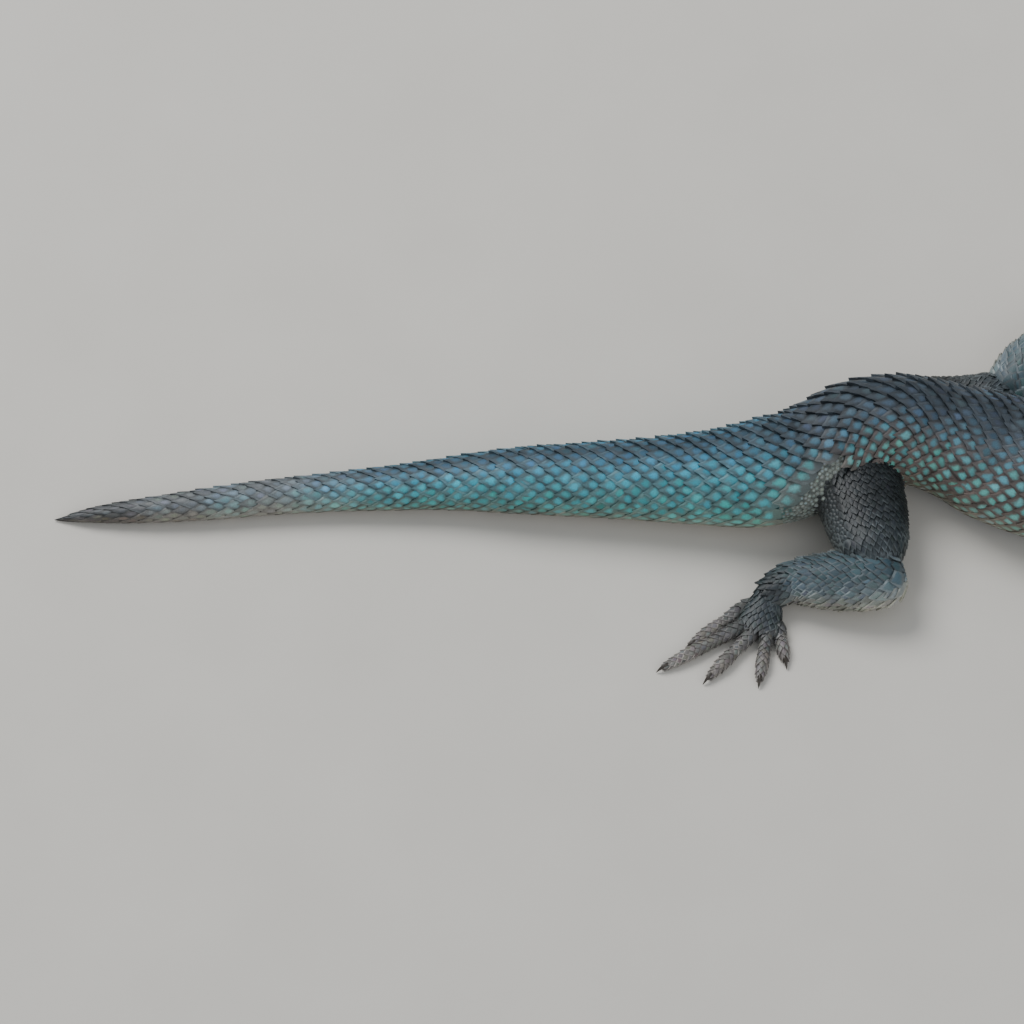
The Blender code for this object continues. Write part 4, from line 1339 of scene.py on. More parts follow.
class SkinShape:
    """The skin: all forms joined into one surface, with eyelids, lips, nostrils and ear hollows.

    Attributes:
        mesh: the surface.
        tree: a tree that finds the nearest place on it.
    """

    # The voxels that join the sleeves, how often the skin is smoothed, and how far it keeps from the floor.
    VOXEL = 0.5
    SMOOTHINGS = 3
    FLOOR_GAP = 0.05
    # How far round the lids, and round the middle of a hollow, the skin's faces are finer.
    FINE_RIM = 1.0
    FINE_HOLLOW = 2.6
    # How deep each region's sleeves lie in their forms, the distance between their rings, and the points of
    # a ring.
    DEPTHS = {Region.SPINE: 0.3, Region.HEAD: 0.15, Region.HIND: 0.22, Region.FORE: 0.2, Region.FOOT: 0.08}
    STEPS = {Region.SPINE: 1.2, Region.HEAD: 0.6, Region.HIND: 0.9, Region.FORE: 0.8, Region.FOOT: 0.45}
    RING = {Region.SPINE: 64, Region.HEAD: 64, Region.HIND: 36, Region.FORE: 32, Region.FOOT: 18}
    # The ball of the lids, the rim round it that opens with it, and the cavity inside.
    LID_RADIUS = 3.3
    LID_RIM = 1.2
    CAVITY_RADIUS = 2.3
    # How far the eyes look ahead and upwards, for one sideways.
    LOOK_AHEAD = 0.3
    LOOK_UP = 0.16
    # The half width, the half height and the slant of the lids' opening.
    OPENING = (math.radians(50.0), math.radians(35.0))
    SLANT = 0.12
    # The half length, half height and depth of the hollows, how far scales keep from their rims, and how far
    # to each side they reach.
    EAR_HOLLOW = (1.25, 1.95, 1.3)
    NOSTRIL_HOLLOW = (0.5, 0.42, 0.6)
    HOLLOW_RIM = 0.25
    HOLLOW_REACH = 3.0
    # The half width and the depth of the groove along the mouth line.
    MOUTH_GROOVE = (0.42, 0.34)
    # What counts as far outside an opening.
    OUTSIDE = 9.0

    def __init__(self, animal: Animal) -> None:
        """Joins the forms, then shapes what opens into them.

        Args:
            animal: the forms of the body.
        """
        self.animal = animal
        self.mesh = self._joined()
        self._refine_and_smooth()
        self._carve()
        bm = bmesh.new()
        bm.from_mesh(self.mesh)
        self.tree = BVHTree.FromBMesh(bm)
        bm.free()

    def _joined(self) -> Mesh:
        """One closed surface of all sleeves, with a ball for each eye's lids.

        Returns:
            The surface, as a mesh in metres.
        """
        whole = bmesh.new()
        for form in self.animal.forms:
            region = form.region
            add_part(whole, sleeve(form, self.STEPS[region], self.RING[region], self.DEPTHS[region]))
        for centre, _ in self.eyes():
            ball = bmesh.new()
            bmesh.ops.create_icosphere(ball, subdivisions=4, radius=self.LID_RADIUS * MM)
            bmesh.ops.translate(ball, vec=Vector(centre) * MM, verts=ball.verts)
            add_part(whole, ball)
        mesh = mesh_of(whole, "skin_sleeves")
        rough = bpy.data.objects.new("skin_sleeves", mesh)
        bpy.context.scene.collection.objects.link(rough)
        modifier = rough.modifiers.new("join", "REMESH")
        modifier.mode = "VOXEL"
        modifier.voxel_size = self.VOXEL * MM
        modifier.adaptivity = 0.0
        graph = bpy.context.evaluated_depsgraph_get()
        graph.update()
        joined = bpy.data.meshes.new_from_object(rough.evaluated_get(graph))
        joined.name = "skin"
        bpy.data.objects.remove(rough)
        bpy.data.meshes.remove(mesh)
        return joined

    def eyes(self) -> list[tuple[Array, Array]]:
        """The middle of each eye and the direction that it looks in, right one first.

        Returns:
            A middle and a unit vector for each.
        """
        head = self.animal.head
        station, across, above = head.sizes.eye
        along, side, up = head.spine.frame(station)
        found = []
        for hand in (1.0, -1.0):
            look = side * hand - self.LOOK_AHEAD * along + self.LOOK_UP * up
            found.append((head.place(station, hand * across, above), look / np.linalg.norm(look)))
        return found

    def _eye_opening(self, points: Array) -> Array:
        """How far points lie from the middle of the nearer eye's opening: under 1 inside it.

        Args:
            points: places in millimetres.

        Returns:
            One number for each.
        """
        reach = np.full(len(points), self.OUTSIDE)
        for centre, look in self.eyes():
            away = points - centre
            distance = np.linalg.norm(away, axis=1)
            level = np.cross((0.0, 0.0, 1.0), look)
            level /= np.linalg.norm(level)
            upright = np.cross(look, level)
            towards = away @ look
            wide = np.arctan2(away @ level, towards)
            tall = np.arctan2(away @ upright, towards)
            slant = tall + self.SLANT * wide
            value = np.sqrt((wide / self.OPENING[0]) ** 2 + (slant / self.OPENING[1]) ** 2)
            near = (distance < self.LID_RADIUS + self.LID_RIM) & (towards > 0.0)
            reach = np.minimum(reach, np.where(near, value, self.OUTSIDE))
        return reach

    def _hollows(self) -> list[tuple[Array, tuple[Array, Array, Array], tuple[float, float, float]]]:
        """The middle, the axes and the half length, half height and depth of each ear and nostril.

        Returns:
            For each, its middle, its axes and its three sizes.
        """
        head = self.animal.head
        found = []
        places = (head.sizes.ear, self.EAR_HOLLOW), (head.sizes.nostril, self.NOSTRIL_HOLLOW)
        for (station, across, above), sizes in places:
            along, side, up = head.spine.frame(station)
            for hand in (1.0, -1.0):
                found.append((head.place(station, hand * across, above), (along, hand * side, up), sizes))
        return found

    def in_opening(self, points: Array) -> Array:
        """Whether points lie in an eye's opening, an ear or a nostril, where no scale grows.

        Args:
            points: places in millimetres.

        Returns:
            True or false for each.
        """
        inside = self._eye_opening(points) < 1.22
        for centre, (along, side, up), (length, height, _) in self._hollows():
            away = points - centre
            length, height = length + self.HOLLOW_RIM, height + self.HOLLOW_RIM
            reach = ((away @ along) / length) ** 2 + ((away @ up) / height) ** 2
            inside |= (reach < 1.0) & (np.abs(away @ side) < self.HOLLOW_REACH)
        return inside

    def _refine_and_smooth(self) -> None:
        """Gives the surface near the eyes, ears and nostrils finer faces, and softens the joins."""
        bm = bmesh.new()
        bm.from_mesh(self.mesh)
        centres = [(Vector(centre) * MM, self.LID_RADIUS + self.FINE_RIM) for centre, _ in self.eyes()]
        centres += [(Vector(centre) * MM, self.FINE_HOLLOW) for centre, _, _ in self._hollows()]
        near = [
            edge for edge in bm.edges
            if any((edge.verts[0].co - centre).length < reach * MM for centre, reach in centres)
        ]
        bmesh.ops.subdivide_edges(bm, edges=near, cuts=1, use_grid_fill=True)
        bmesh.ops.triangulate(bm, faces=[face for face in bm.faces if len(face.verts) > 4])
        for _ in range(self.SMOOTHINGS):
            bmesh.ops.smooth_vert(
                bm, verts=bm.verts, factor=0.5, use_axis_x=True, use_axis_y=True, use_axis_z=True
            )
        for vertex in bm.verts:
            vertex.co.z = max(vertex.co.z, self.FLOOR_GAP * MM)
        bm.to_mesh(self.mesh)
        bm.free()
        self.mesh.shade_smooth()

    def _carve(self) -> None:
        """Opens the lids and sinks the ears, the nostrils and the mouth line."""
        points, _ = self.points_and_normals()
        reach = self._eye_opening(points)
        for centre, _ in self.eyes():
            away = points - centre
            distance = np.linalg.norm(away, axis=1, keepdims=True)
            near = distance[:, 0] < self.LID_RADIUS + self.LID_RIM
            share = np.where(near, fade_out(reach, 1.1, 0.16), 0.0)[:, None]
            points = points + share * (away / distance * self.CAVITY_RADIUS - away)
        for centre, (along, side, up), (length, height, depth) in self._hollows():
            away = points - centre
            reach = ((away @ along) / length) ** 2 + ((away @ up) / height) ** 2
            near = np.abs(away @ side) < self.HOLLOW_REACH
            points = points - np.where(near, depth * fade_out(reach, 1.15, 0.45), 0.0)[:, None] * side
        self._sink_mouth(points)
        self.mesh.vertices.foreach_set("co", (points * MM).astype(np.float32).ravel())
        self.mesh.update()

    def _sink_mouth(self, points: Array) -> None:
        """Moves the points near the mouth line inwards, to a groove.

        Args:
            points: the skin's corners in millimetres, which it changes.
        """
        head, spine = self.animal.head, self.animal.spine_path
        width, depth = self.MOUTH_GROOVE
        stations = np.tile(np.linspace(0.25, head.sizes.mouth_corner, 120), 2)
        turns = np.repeat((1, -1), 120) * head.mouth_turn(stations)
        line = tree_of(head.form.at(stations, turns, 0.0))
        for k in np.nonzero(np.linalg.norm(points - spine.at(12.0), axis=1) < 20.0)[0]:
            _, index, distance = line.find(points[k])
            if distance < width:
                inwards = spine.at(max(stations[index], 3.0)) - points[k]
                inwards[2] = 0.0
                sunk = depth * float(smooth((width - distance) / width * 1.4))
                points[k] += sunk * inwards / np.linalg.norm(inwards)

    def points_and_normals(self) -> tuple[Array, Array]:
        """The skin's corners in millimetres and their normals."""
        values = []
        for source, name in ((self.mesh.vertices, "co"), (self.mesh.vertex_normals, "vector")):
            flat = np.empty(3 * len(self.mesh.vertices), np.float32)
            source.foreach_get(name, flat)
            values.append(flat.reshape(-1, 3).astype(float))
        return values[0] / MM, values[1]

    def height_under(self, points: Array) -> Array:
        """How far points lie outside the skin. It is negative inside.

        Args:
            points: places in millimetres, as an array by 3.

        Returns:
            One distance in millimetres for each.
        """
        heights = np.empty(len(points))
        for k, point in enumerate(points):
            place, normal, _, _ = self.tree.find_nearest(Vector(point) * MM)
            heights[k] = (Vector(point) * MM - place).dot(normal) / MM
        return heights

    def drop(self, above: Array, down: Array) -> Array:
        """Where a line from a point above first meets the skin, in millimetres."""
        place, _, _, _ = self.tree.ray_cast(Vector(above) * MM, Vector(down))
        return np.array(place) / MM


@dataclass(frozen=True)
class RowStyle:
    """How one stretch of a form is clad in rows.

    Attributes:
        start: the first station.
        end: the last station.
        pitch: the distance between rows at the start and at the end.
        width: the width of a scale at the start and at the end.
        cells: faces along each side of a scale.
    """

    # A row gets a new number of scales only where the last row's is off by more than this many.
    STEADY = 1.2

    start: float
    end: float
    pitch: tuple[float, float]
    width: tuple[float, float]
    cells: int


@dataclass
class Roots:
    """Where the scales of one stretch stand, with one value for each scale.

    Attributes:
        station: how far along the form.
        turn: how far round it.
        pitch: the distance to the next row.
        width: the distance to the next scale of its row.
    """

    station: Array
    turn: Array
    pitch: Array
    width: Array

    @property
    def fold(self) -> Array:
        """How far each lies from the back's middle line toward the belly's."""
        return fold_of(self.turn)


def lattice(form: Form, style: RowStyle, fewest: int) -> Roots:
    """The roots of staggered rows of scales round a form.

    Args:
        form: the form that they cover.
        style: the rows' sizes.
        fewest: the least number of scales in a row.

    Returns:
        The roots.
    """
    station, rows, count = style.start, [], 0
    while station < style.end:
        share = (station - style.start) / (style.end - style.start)
        pitch, width = (first + share * (last - first) for first, last in (style.pitch, style.width))
        girth = float(form.girth_at(station))
        if abs(girth / width - count) > style.STEADY:
            count = max(fewest, round(girth / width))
        turn = FULL_TURN * (np.arange(count) + 0.5 * (len(rows) % 2)) / count
        rows.append((np.full(count, station), turn, np.full(count, pitch), np.full(count, girth / count)))
        station += pitch
    return Roots(*(np.concatenate(values) for values in zip(*rows)))


class Scales:
    """Lays scales of all kinds over the forms."""

    # How far under the skin a scale is left out.
    HIDDEN = -0.5
    # The places of a scale that are noted as covered: how far along it, and how far to its sides.
    COVER_PLACES = (
        (0.1, (-0.4, 0.4)), (0.35, (-0.8, -0.3, 0.3, 0.8)), (0.6, (-0.8, -0.3, 0.3, 0.8)), (0.85, (0.0,)),
    )
    # The limits within which a scale's length follows the stretch of its form.
    LENGTH_STRETCH = (0.8, 1.3)
    # How deep a scale's form may sink into another until the scale has shrunk to the smallest share.
    SINKING = 0.8
    SMALLEST = 0.6
    # How far scales stray along and round the form, as shares of pitch and width.
    WANDER = (0.09, 0.035)
    # How much the scales' tilt and keel vary, and how much their other sizes.
    SPREAD = (0.14, 0.05)

    def __init__(self, animal: Animal, skin: SkinShape, markings: Markings) -> None:
        """Prepares the shapes of scales.

        Args:
            animal: the forms of the body.
            skin: the skin under the scales.
            markings: the animal's colours.
        """
        self.animal = animal
        self.skin = skin
        self.markings = markings
        self.shapes = {cells: ScaleShape(cells) for cells in (4, 6)}
        self.random = np.random.default_rng(2817)
        self.cover: list[Array] = []

    def lay(self, coat: Coat, form: Form, cells: int, station: Array, turn: Array, lay: Lay) -> None:
        """Lays scales over a form where its surface is also the body's surface.

        Args:
            coat: the coat that gets them.
            form: the form that they lie on.
            cells: faces along each side of a scale.
            station: the station of each root.
            turn: each scale's turn.
            lay: their sizes.
        """
        values = lay.per_scale(len(station))
        stretch = form.stretch(station, turn)
        values["length"] *= np.clip(stretch, *self.LENGTH_STRETCH)
        reach = values["length"] / stretch
        middle = form.at(station + 0.5 * reach, turn, 0.0)
        tip = form.at(station + 0.9 * reach, turn, 0.0)
        under = np.minimum(self.skin.height_under(middle), self.skin.height_under(tip) + 0.35)
        keep = (under > self.HIDDEN) & (middle[:, 2] > -0.5) & ~self.skin.in_opening(middle)
        if not keep.any():
            return
        shrink = np.clip((under + self.SINKING) / self.SINKING, self.SMALLEST, 1.0)
        lift = np.clip(SkinShape.DEPTHS[form.region] - under, 0.0, self.SINKING)[keep]
        station, turn, stretch, middle = station[keep], turn[keep], stretch[keep], middle[keep]
        values = {
            name: value[keep] * (1.0 if name == "length" else shrink[keep]) for name, value in values.items()
        }
        shape = self.shapes[cells]
        kept = Lay(**values, point=lay.point, droop=lay.droop, root=lay.root, sink=lay.sink)
        along, across, up = kept.local(shape)
        girth = form.girth_at(station)[:, None]
        points = form.at(
            station[:, None] + along / stretch[:, None],
            turn[:, None] - across * FULL_TURN / girth,
            up + lift[:, None],
        )
        self._note_cover(form, station, turn, kept, stretch)
        core, rim = self.markings.paint(form, station, turn)
        coat.add(shape, points, *self.vary(core, rim), form.unwrap(station, turn))

    def vary(self, core: Array, rim: Array) -> tuple[Array, Array]:
        """Makes each scale's colours a little its own.

        Args:
            core: the core colours.
            rim: the rim colours.

        Returns:
            Both, varied.
        """
        number = len(core)
        core = core * (1.0 + 0.15 * self.random.standard_normal((number, 1)))
        core = core * (1.0 + 0.05 * self.random.standard_normal((number, 3)))
        rim = rim * (1.0 + 0.1 * self.random.standard_normal((number, 1)))
        return np.clip(core, 0.0, 1.0), np.clip(rim, 0.0, 1.0)

    def _note_cover(self, form: Form, station: Array, turn: Array, lay: Lay, stretch: Array) -> None:
        """Notes the ground that scales cover, so that granules stay off it.

        Args:
            form: the form that carries them.
            station: the station of each root.
            turn: each scale's turn.
            lay: their sizes.
            stretch: the form's stretch at each root.
        """
        girth = form.girth_at(station)
        for along, widths in self.COVER_PLACES:
            for across in widths:
                aside = across * lay.half_width * FULL_TURN / girth
                self.cover.append(form.at(station + along * lay.length / stretch, turn + aside, 0.0))

    def rows(
        self, coat: Coat, form: Form, style: RowStyle, lay_of: Callable[[Roots], tuple[Lay, Array]],
        fewest: int = 6, stray: float = 1.0,
    ) -> None:
        """Clads a stretch of a form in rows.

        Args:
            coat: the coat that gets them.
            form: the form.
            style: the rows' sizes.
            lay_of: gives the sizes of the scales and which of them stand, from their roots.
            fewest: the least number of scales in a row.
            stray: how far scales stray from their rows, as a multiple of the usual.
        """
        roots = lattice(form, style, fewest)
        number = len(roots.station)
        wander = stray * self.random.standard_normal((2, number))
        along, around = self.WANDER
        roots.station = roots.station + along * roots.pitch * wander[0]
        roots.turn = roots.turn + around * roots.width / form.girth_at(roots.station) * FULL_TURN * wander[1]
        lay, mask = lay_of(roots)
        mask = np.broadcast_to(mask, number)
        for name, values in lay.per_scale(number).items():
            spread = self.SPREAD[0 if name in ("tilt", "keel") else 1] * stray
            jitter = 1.0 + spread * self.random.standard_normal(number)
            setattr(lay, name, (values * jitter)[mask])
        self.lay(coat, form, style.cells, roots.station[mask], roots.turn[mask], lay)


@dataclass
class SpineCoat:
    """The keeled scales of neck, trunk and tail.

    Attributes:
        neck_rows: how the neck and chest are clad.
        back_rows: how the trunk is clad.
        tail_rows: how the tail is clad.
        usual_width: the scale width at which the tips stand as high as the Lay says.
    """

    neck_rows: tuple[RowStyle, ...] = (
        RowStyle(26.0, 40.0, (1.15, 1.45), (2.1, 2.6), 6),
        RowStyle(40.0, 64.0, (1.45, 1.62), (2.6, 3.15), 6),
    )
    back_rows: tuple[RowStyle, ...] = (RowStyle(64.0, 112.5, (1.62, 1.6), (3.15, 3.2), 6),)
    tail_rows: tuple[RowStyle, ...] = (
        RowStyle(112.5, 165.0, (1.6, 1.65), (3.2, 3.0), 6),
        RowStyle(165.0, 207.0, (1.65, 1.65), (3.0, 2.3), 6),
        RowStyle(207.0, 252.0, (1.65, 1.55), (2.3, 1.35), 6),
    )
    usual_width: float = 3.1

    def lay(self, roots: Roots) -> tuple[Lay, Array]:
        """Strongly keeled, pointed scales above, and smooth flat ones below.

        Args:
            roots: where the scales stand.

        Returns:
            The sizes of the scales, and which of them stand.
        """
        station, fold = roots.station, roots.fold
        size = np.minimum(1.0, roots.width / self.usual_width)
        belly = fade_in(fold, 0.3, 0.3)
        spiny = fade_out(fold, 0.42, 0.24) * fade_in(station, 60.0, 20.0) * fade_out(station, 155.0, 35.0)
        return (
            Lay(
                length=2.4 * roots.pitch * (1.0 + 0.1 * spiny),
                half_width=0.54 * roots.width,
                tilt=size * (0.38 + 0.34 * spiny) * (1.0 - 0.6 * belly),
                thick=size * (0.16 - 0.05 * belly),
                keel=size * (0.22 + 0.16 * spiny) * (1.0 - 0.9 * belly),
                point=0.13,
            ),
            Markings.into_groin(station, roots.turn) < 0.0,
        )

    def cover(self, scales: Scales) -> dict[str, Coat]:
        """Lays the scales.

        Args:
            scales: what lays them.

        Returns:
            The coats of neck, back and tail.
        """
        coats = {}
        for name in ("neck", "back", "tail"):
            coat = coats[name] = Coat(f"coat_{name}")
            for style in getattr(self, f"{name}_rows"):
                scales.rows(coat, scales.animal.spine, style, self.lay, fewest=8)
        return coats


@dataclass
class LimbCoat:
    """The keeled scales of the limbs, and the small ones behind the thighs and on the feet.

    Attributes:
        hind_pitch: distance between rows on the hind limbs.
        fore_pitch: distance between rows on the fore limbs.
        thigh_root: how small the scales at the thigh's root are, as a share of the usual.
        thigh_knee: how small they are at the knee.
        palm_pitch: distance between rows on palms and soles.
        toe_pitch: distance between rows on toes.
        slender: the distance between the scales of a row, as a multiple of that between rows.
        pebbled: the half width and the end of the pebbled rear of the thigh, as shares of a turn and of the
            thigh's length.
    """

    hind_pitch: float = 0.98
    fore_pitch: float = 0.85
    thigh_root: float = 0.62
    thigh_knee: float = 0.88
    palm_pitch: float = 0.72
    toe_pitch: float = 0.72
    slender: float = 1.75
    pebbled: tuple[float, float] = (0.14, 0.8)

    def keeled(self, roots: Roots) -> tuple[Lay, Array]:
        """Keeled scales, smoother beneath.

        Args:
            roots: where the scales stand.

        Returns:
            The sizes of the scales, and which of them stand.
        """
        size = roots.width / 1.7
        belly = fade_in(roots.fold, 0.55, 0.25)
        lay = Lay(
            length=2.42 * roots.pitch, half_width=0.6 * roots.width, tilt=size * (0.38 - 0.18 * belly),
            thick=size * 0.1, keel=size * 0.2 * (1 - belly), sink=0.12,
        )
        return lay, roots.station > 0.0

    def small(self, roots: Roots) -> tuple[Lay, Array]:
        """Small keeled scales of the foot.

        Args:
            roots: where the scales stand.

        Returns:
            The sizes of the scales, and which of them stand.
        """
        size = roots.width / 1.2
        lay = Lay(
            length=2.4 * roots.pitch, half_width=0.56 * roots.width, tilt=size * 0.26, thick=size * 0.12,
            keel=size * 0.13, root=0.7, sink=0.1,
        )
        return lay, roots.station > 0.0

    def cover_limb(self, scales: Scales, coat: Coat, limb: LimbShape) -> None:
        """Lays the scales of one limb's upper and lower parts.

        Args:
            scales: what lays them.
            coat: the coat that gets them.
            limb: the limb.
        """
        hind = limb.sizes.kind == "hind"
        pitch = self.hind_pitch if hind else self.fore_pitch
        width = self.slender * pitch
        rear = 0.75 if limb.sizes.side == "right" else 0.25

        def upper(roots: Roots) -> tuple[Lay, Array]:
            """Keeled scales, except on the rear of the thigh, where the skin is pebbled."""
            half_width, length = self.pebbled
            at_rear = np.abs((roots.turn / FULL_TURN) % 1.0 - rear) < half_width
            return self.keeled(roots)[0], ~(hind & at_rear & (roots.station < length * limb.upper.end))

        form, root = limb.upper, self.thigh_root if hind else 0.9
        near, far = root * pitch, self.thigh_knee * pitch if hind else pitch
        style = RowStyle(0.4, form.end - 0.8, (near, far), (self.slender * near, self.slender * far), 4)
        scales.rows(coat, form, style, upper, stray=1.7 if hind else 1.2)
        form = limb.lower
        style = RowStyle(0.5, form.end - 0.4, (pitch, 0.85 * pitch), (width, 0.85 * width), 4)
        scales.rows(coat, form, style, self.keeled, stray=2.0)

    def cover_foot(self, scales: Scales, coat: Coat, limb: LimbShape) -> None:
        """Lays the scales of one limb's palm and toes.

        Args:
            scales: what lays them.
            coat: the coat that gets them.
            limb: the limb.
        """
        form, pitch = limb.palm, self.palm_pitch
        width = 1.7 * pitch
        scales.rows(coat, form, RowStyle(1.2, form.end - 0.8, (pitch, pitch), (width, width), 4), self.small)
        pitch = self.toe_pitch
        for toe in limb.toes:
            style = RowStyle(0.3, toe.end - 0.5, (pitch, 0.85 * pitch), (1.25, 0.95), 4)
            scales.rows(coat, toe, style, self.small, fewest=5)


@dataclass
class HeadCoat:
    """The shields of the crown, the lip and brow scales, and the keeled scales behind them.

    Attributes:
        middle: station, half length and half width of the shields on the middle line.
        paired: station, distance across, half length and half width of the others.
        lips: how many lip shields each jaw has on each side.
        lip_height: the height of a lip shield.
        lip_gap: half the mouth line's width.
        rise: how far a shield stands above the skin.
        snout_station: the place of the shields at the tips of both jaws.
        rows: how the small scales are laid.
    """

    # How far over the head shields are dropped from, and the head's rough radius for their colours.
    DROP = 20.0
    HEAD_RADIUS = 9.0

    middle: tuple[tuple[float, float, float], ...] = (
        (2.35, 0.62, 0.6), (4.15, 1.15, 1.05), (6.75, 1.45, 1.55), (9.65, 1.5, 1.75), (12.45, 1.35, 1.55),
        (18.0, 2.3, 2.4),
    )
    paired: tuple[tuple[float, float, float, float], ...] = (
        (2.3, 1.3, 0.62, 0.62), (3.75, 2.1, 0.95, 0.95), (5.85, 2.95, 1.2, 1.25), (8.3, 3.5, 1.3, 1.6),
        (10.7, 3.75, 1.1, 1.8), (12.7, 4.0, 1.0, 2.2), (14.6, 4.2, 1.0, 2.25), (16.4, 4.75, 0.95, 2.0),
        (14.9, 1.1, 1.15, 1.05), (18.6, 4.5, 1.6, 1.95), (21.3, 3.05, 1.35, 1.8), (21.3, 6.0, 1.35, 1.2),
        (21.6, 0.85, 1.25, 0.8),
    )
    lips: int = 8
    lip_height: float = 1.6
    lip_gap: float = 0.14
    rise: float = 0.24
    snout_station: float = 0.58
    rows: tuple[RowStyle, ...] = (
        RowStyle(1.6, 14.0, (0.7, 0.8), (1.2, 1.45), 4), RowStyle(14.0, 26.6, (0.85, 1.15), (1.5, 2.1), 4),
    )

    def cover(self, scales: Scales) -> Coat:
        """Lays the scales of the head.

        Args:
            scales: what lays them.

        Returns:
            The head's coat.
        """
        coat = Coat("coat_head")
        self._shields(scales, coat)
        self._lips(scales, coat)
        self._brows(scales, coat)
        self._ears(scales, coat)
        head = scales.animal.head
        for style in self.rows:
            scales.rows(coat, head.form, style, lambda roots: self._small(head, roots))
        return coat

    def _small(self, head: HeadShape, roots: Roots) -> tuple[Lay, Array]:
        """Keeled scales of temple, cheek and nape, and small smooth ones on the throat.

        Args:
            head: the head's shape.
            roots: where the scales stand.

        Returns:
            The sizes of the scales, and which of them stand.
        """
        station, fold = roots.station, roots.fold
        size = roots.width / 2.0
        belly, nape = fade_in(fold, 0.6, 0.2), fade_in(station, 15.0, 6.0)
        lay = Lay(
            length=2.4 * roots.pitch, half_width=0.56 * roots.width, thick=size * 0.17,
            tilt=size * (0.2 + 0.2 * nape) * (1.0 - 0.4 * belly),
            keel=size * (0.1 + 0.14 * nape) * (1.0 - belly),
        )
        crown = 2.0 * head.crown_turn(station) / FULL_TURN
        mouth = 2.0 * head.mouth_turn(station) / FULL_TURN
        lip = 2.0 * (self.lip_height + 0.5) / head.form.girth_at(station)
        on_crown = (fold < crown * 1.02) & (station < 22.2)
        on_lip = (np.abs(fold - mouth) < lip) & (station < head.sizes.mouth_corner + 0.3)
        return lay, ~on_crown & ~on_lip

    def _shields(self, scales: Scales, coat: Coat) -> None:
        """The plates of the crown, dropped onto the skin.

        Args:
            scales: what lays them.
            coat: the coat that gets them.
        """
        head = scales.animal.head
        rows = [(station, 0.0, half_length, half_width) for station, half_length, half_width in self.middle]
        for station, across, *sizes in self.paired:
            rows += [(station, hand * across, *sizes) for hand in (1.0, -1.0)]
        shape = scales.shapes[6]
        along, across, reach = shape.disc()
        squarish = 1.0 + 0.2 * np.sin(2.0 * np.arctan2(across, along)) ** 2 * reach
        points, stations, turns = [], [], []
        for station, middle, half_length, half_width in rows:
            corners = []
            for a, c, r, grow, lower in zip(along, across, reach, squarish, shape.lower):
                there, aside = station + half_length * a * grow, middle + half_width * c * grow
                up = head.spine.frame(there)[2]
                ground = scales.skin.drop(head.place(there, aside, self.DROP), -up)
                lift = -0.35 if lower else self.rise * (1.0 - 0.8 * r**10) + 0.07 * (1.0 - r**2)
                corners.append(ground + up * lift)
            points.append(corners)
            stations.append(station)
            turns.append(middle / self.HEAD_RADIUS)
            scales.cover.append(np.array(corners)[~shape.lower])
        stations, turns = np.array(stations), np.array(turns)
        core, rim = scales.markings.paint(head.form, stations, turns)
        core, rim = scales.vary(core, rim)
        coat.add(shape, np.array(points), core, rim, head.form.unwrap(stations, turns), round_plate=True)

    def _plates(
        self, scales: Scales, coat: Coat, station: Array, turn: Array, half_length: Array, half_width: Array
    ) -> None:
        """Low round-cornered plates set along the head's own surface.

        Args:
            scales: what lays them.
            coat: the coat that gets them.
            station: the station of each middle.
            turn: the turn of each middle.
            half_length: half of each one's length.
            half_width: half of each one's width.
        """
        form = scales.animal.head.form
        shape = scales.shapes[6]
        along, across = 2.0 * shape.along - 1.0, shape.across
        corner = 1.0 - 0.1 * (along * across) ** 2
        reach = np.maximum(np.abs(along), np.abs(across))
        up = np.where(shape.lower, -0.4, self.rise * (1.0 - 0.7 * reach**5) + 0.08 * (1.0 - reach**2))
        girth = form.girth_at(station)[:, None]
        points = form.at(
            station[:, None] + half_length[:, None] * along * corner,
            turn[:, None] - half_width[:, None] * across * corner * FULL_TURN / girth,
            np.broadcast_to(up, (len(station), len(up))),
        )
        scales.cover.extend(points[:, ~shape.lower])
        core, rim = scales.markings.paint(form, station, turn)
        coat.add(shape, points, *scales.vary(core * 1.12, rim), form.unwrap(station, turn), round_plate=True)

    def _lips(self, scales: Scales, coat: Coat) -> None:
        """The shields along both lips on both sides.

        Args:
            scales: what lays them.
            coat: the coat that gets them.
        """
        head = scales.animal.head
        edges = np.linspace(1.0, head.sizes.mouth_corner, self.lips + 1)
        station, half_length = 0.5 * (edges[1:] + edges[:-1]), 0.47 * np.diff(edges)
        girth = head.form.girth_at(station)
        for hand in (1.0, -1.0):
            for jaw in (-1.0, 1.0):
                height = self.lip_height * (1.0 if jaw < 0 else 0.85)
                height = height * np.interp(station, (0.0, 4.0), (0.75, 1.0))
                aside = (self.lip_gap + 0.5 * height) * FULL_TURN / girth
                turn = hand * (head.mouth_turn(station) + jaw * aside)
                self._plates(scales, coat, station, turn, half_length, 0.5 * height)
        snout = np.array([self.snout_station, self.snout_station])
        turn = np.array([0.0, 0.5 * FULL_TURN])
        self._plates(scales, coat, snout, turn, np.full(2, 0.46), np.array([1.5, 1.35]))

    def _brows(self, scales: Scales, coat: Coat) -> None:
        """The long overlapping scales along the edge of each brow.

        Args:
            scales: what lays them.
            coat: the coat that gets them.
        """
        head = scales.animal.head
        station = np.linspace(7.2, 15.2, 6)
        lay = Lay(
            length=2.9, half_width=0.72, tilt=0.42, thick=0.3, keel=0.22, point=0.04, droop=0.3, sink=0.2
        )
        for hand in (1.0, -1.0):
            scales.lay(coat, head.form, 6, station, hand * 1.02 * head.crown_turn(station), lay)

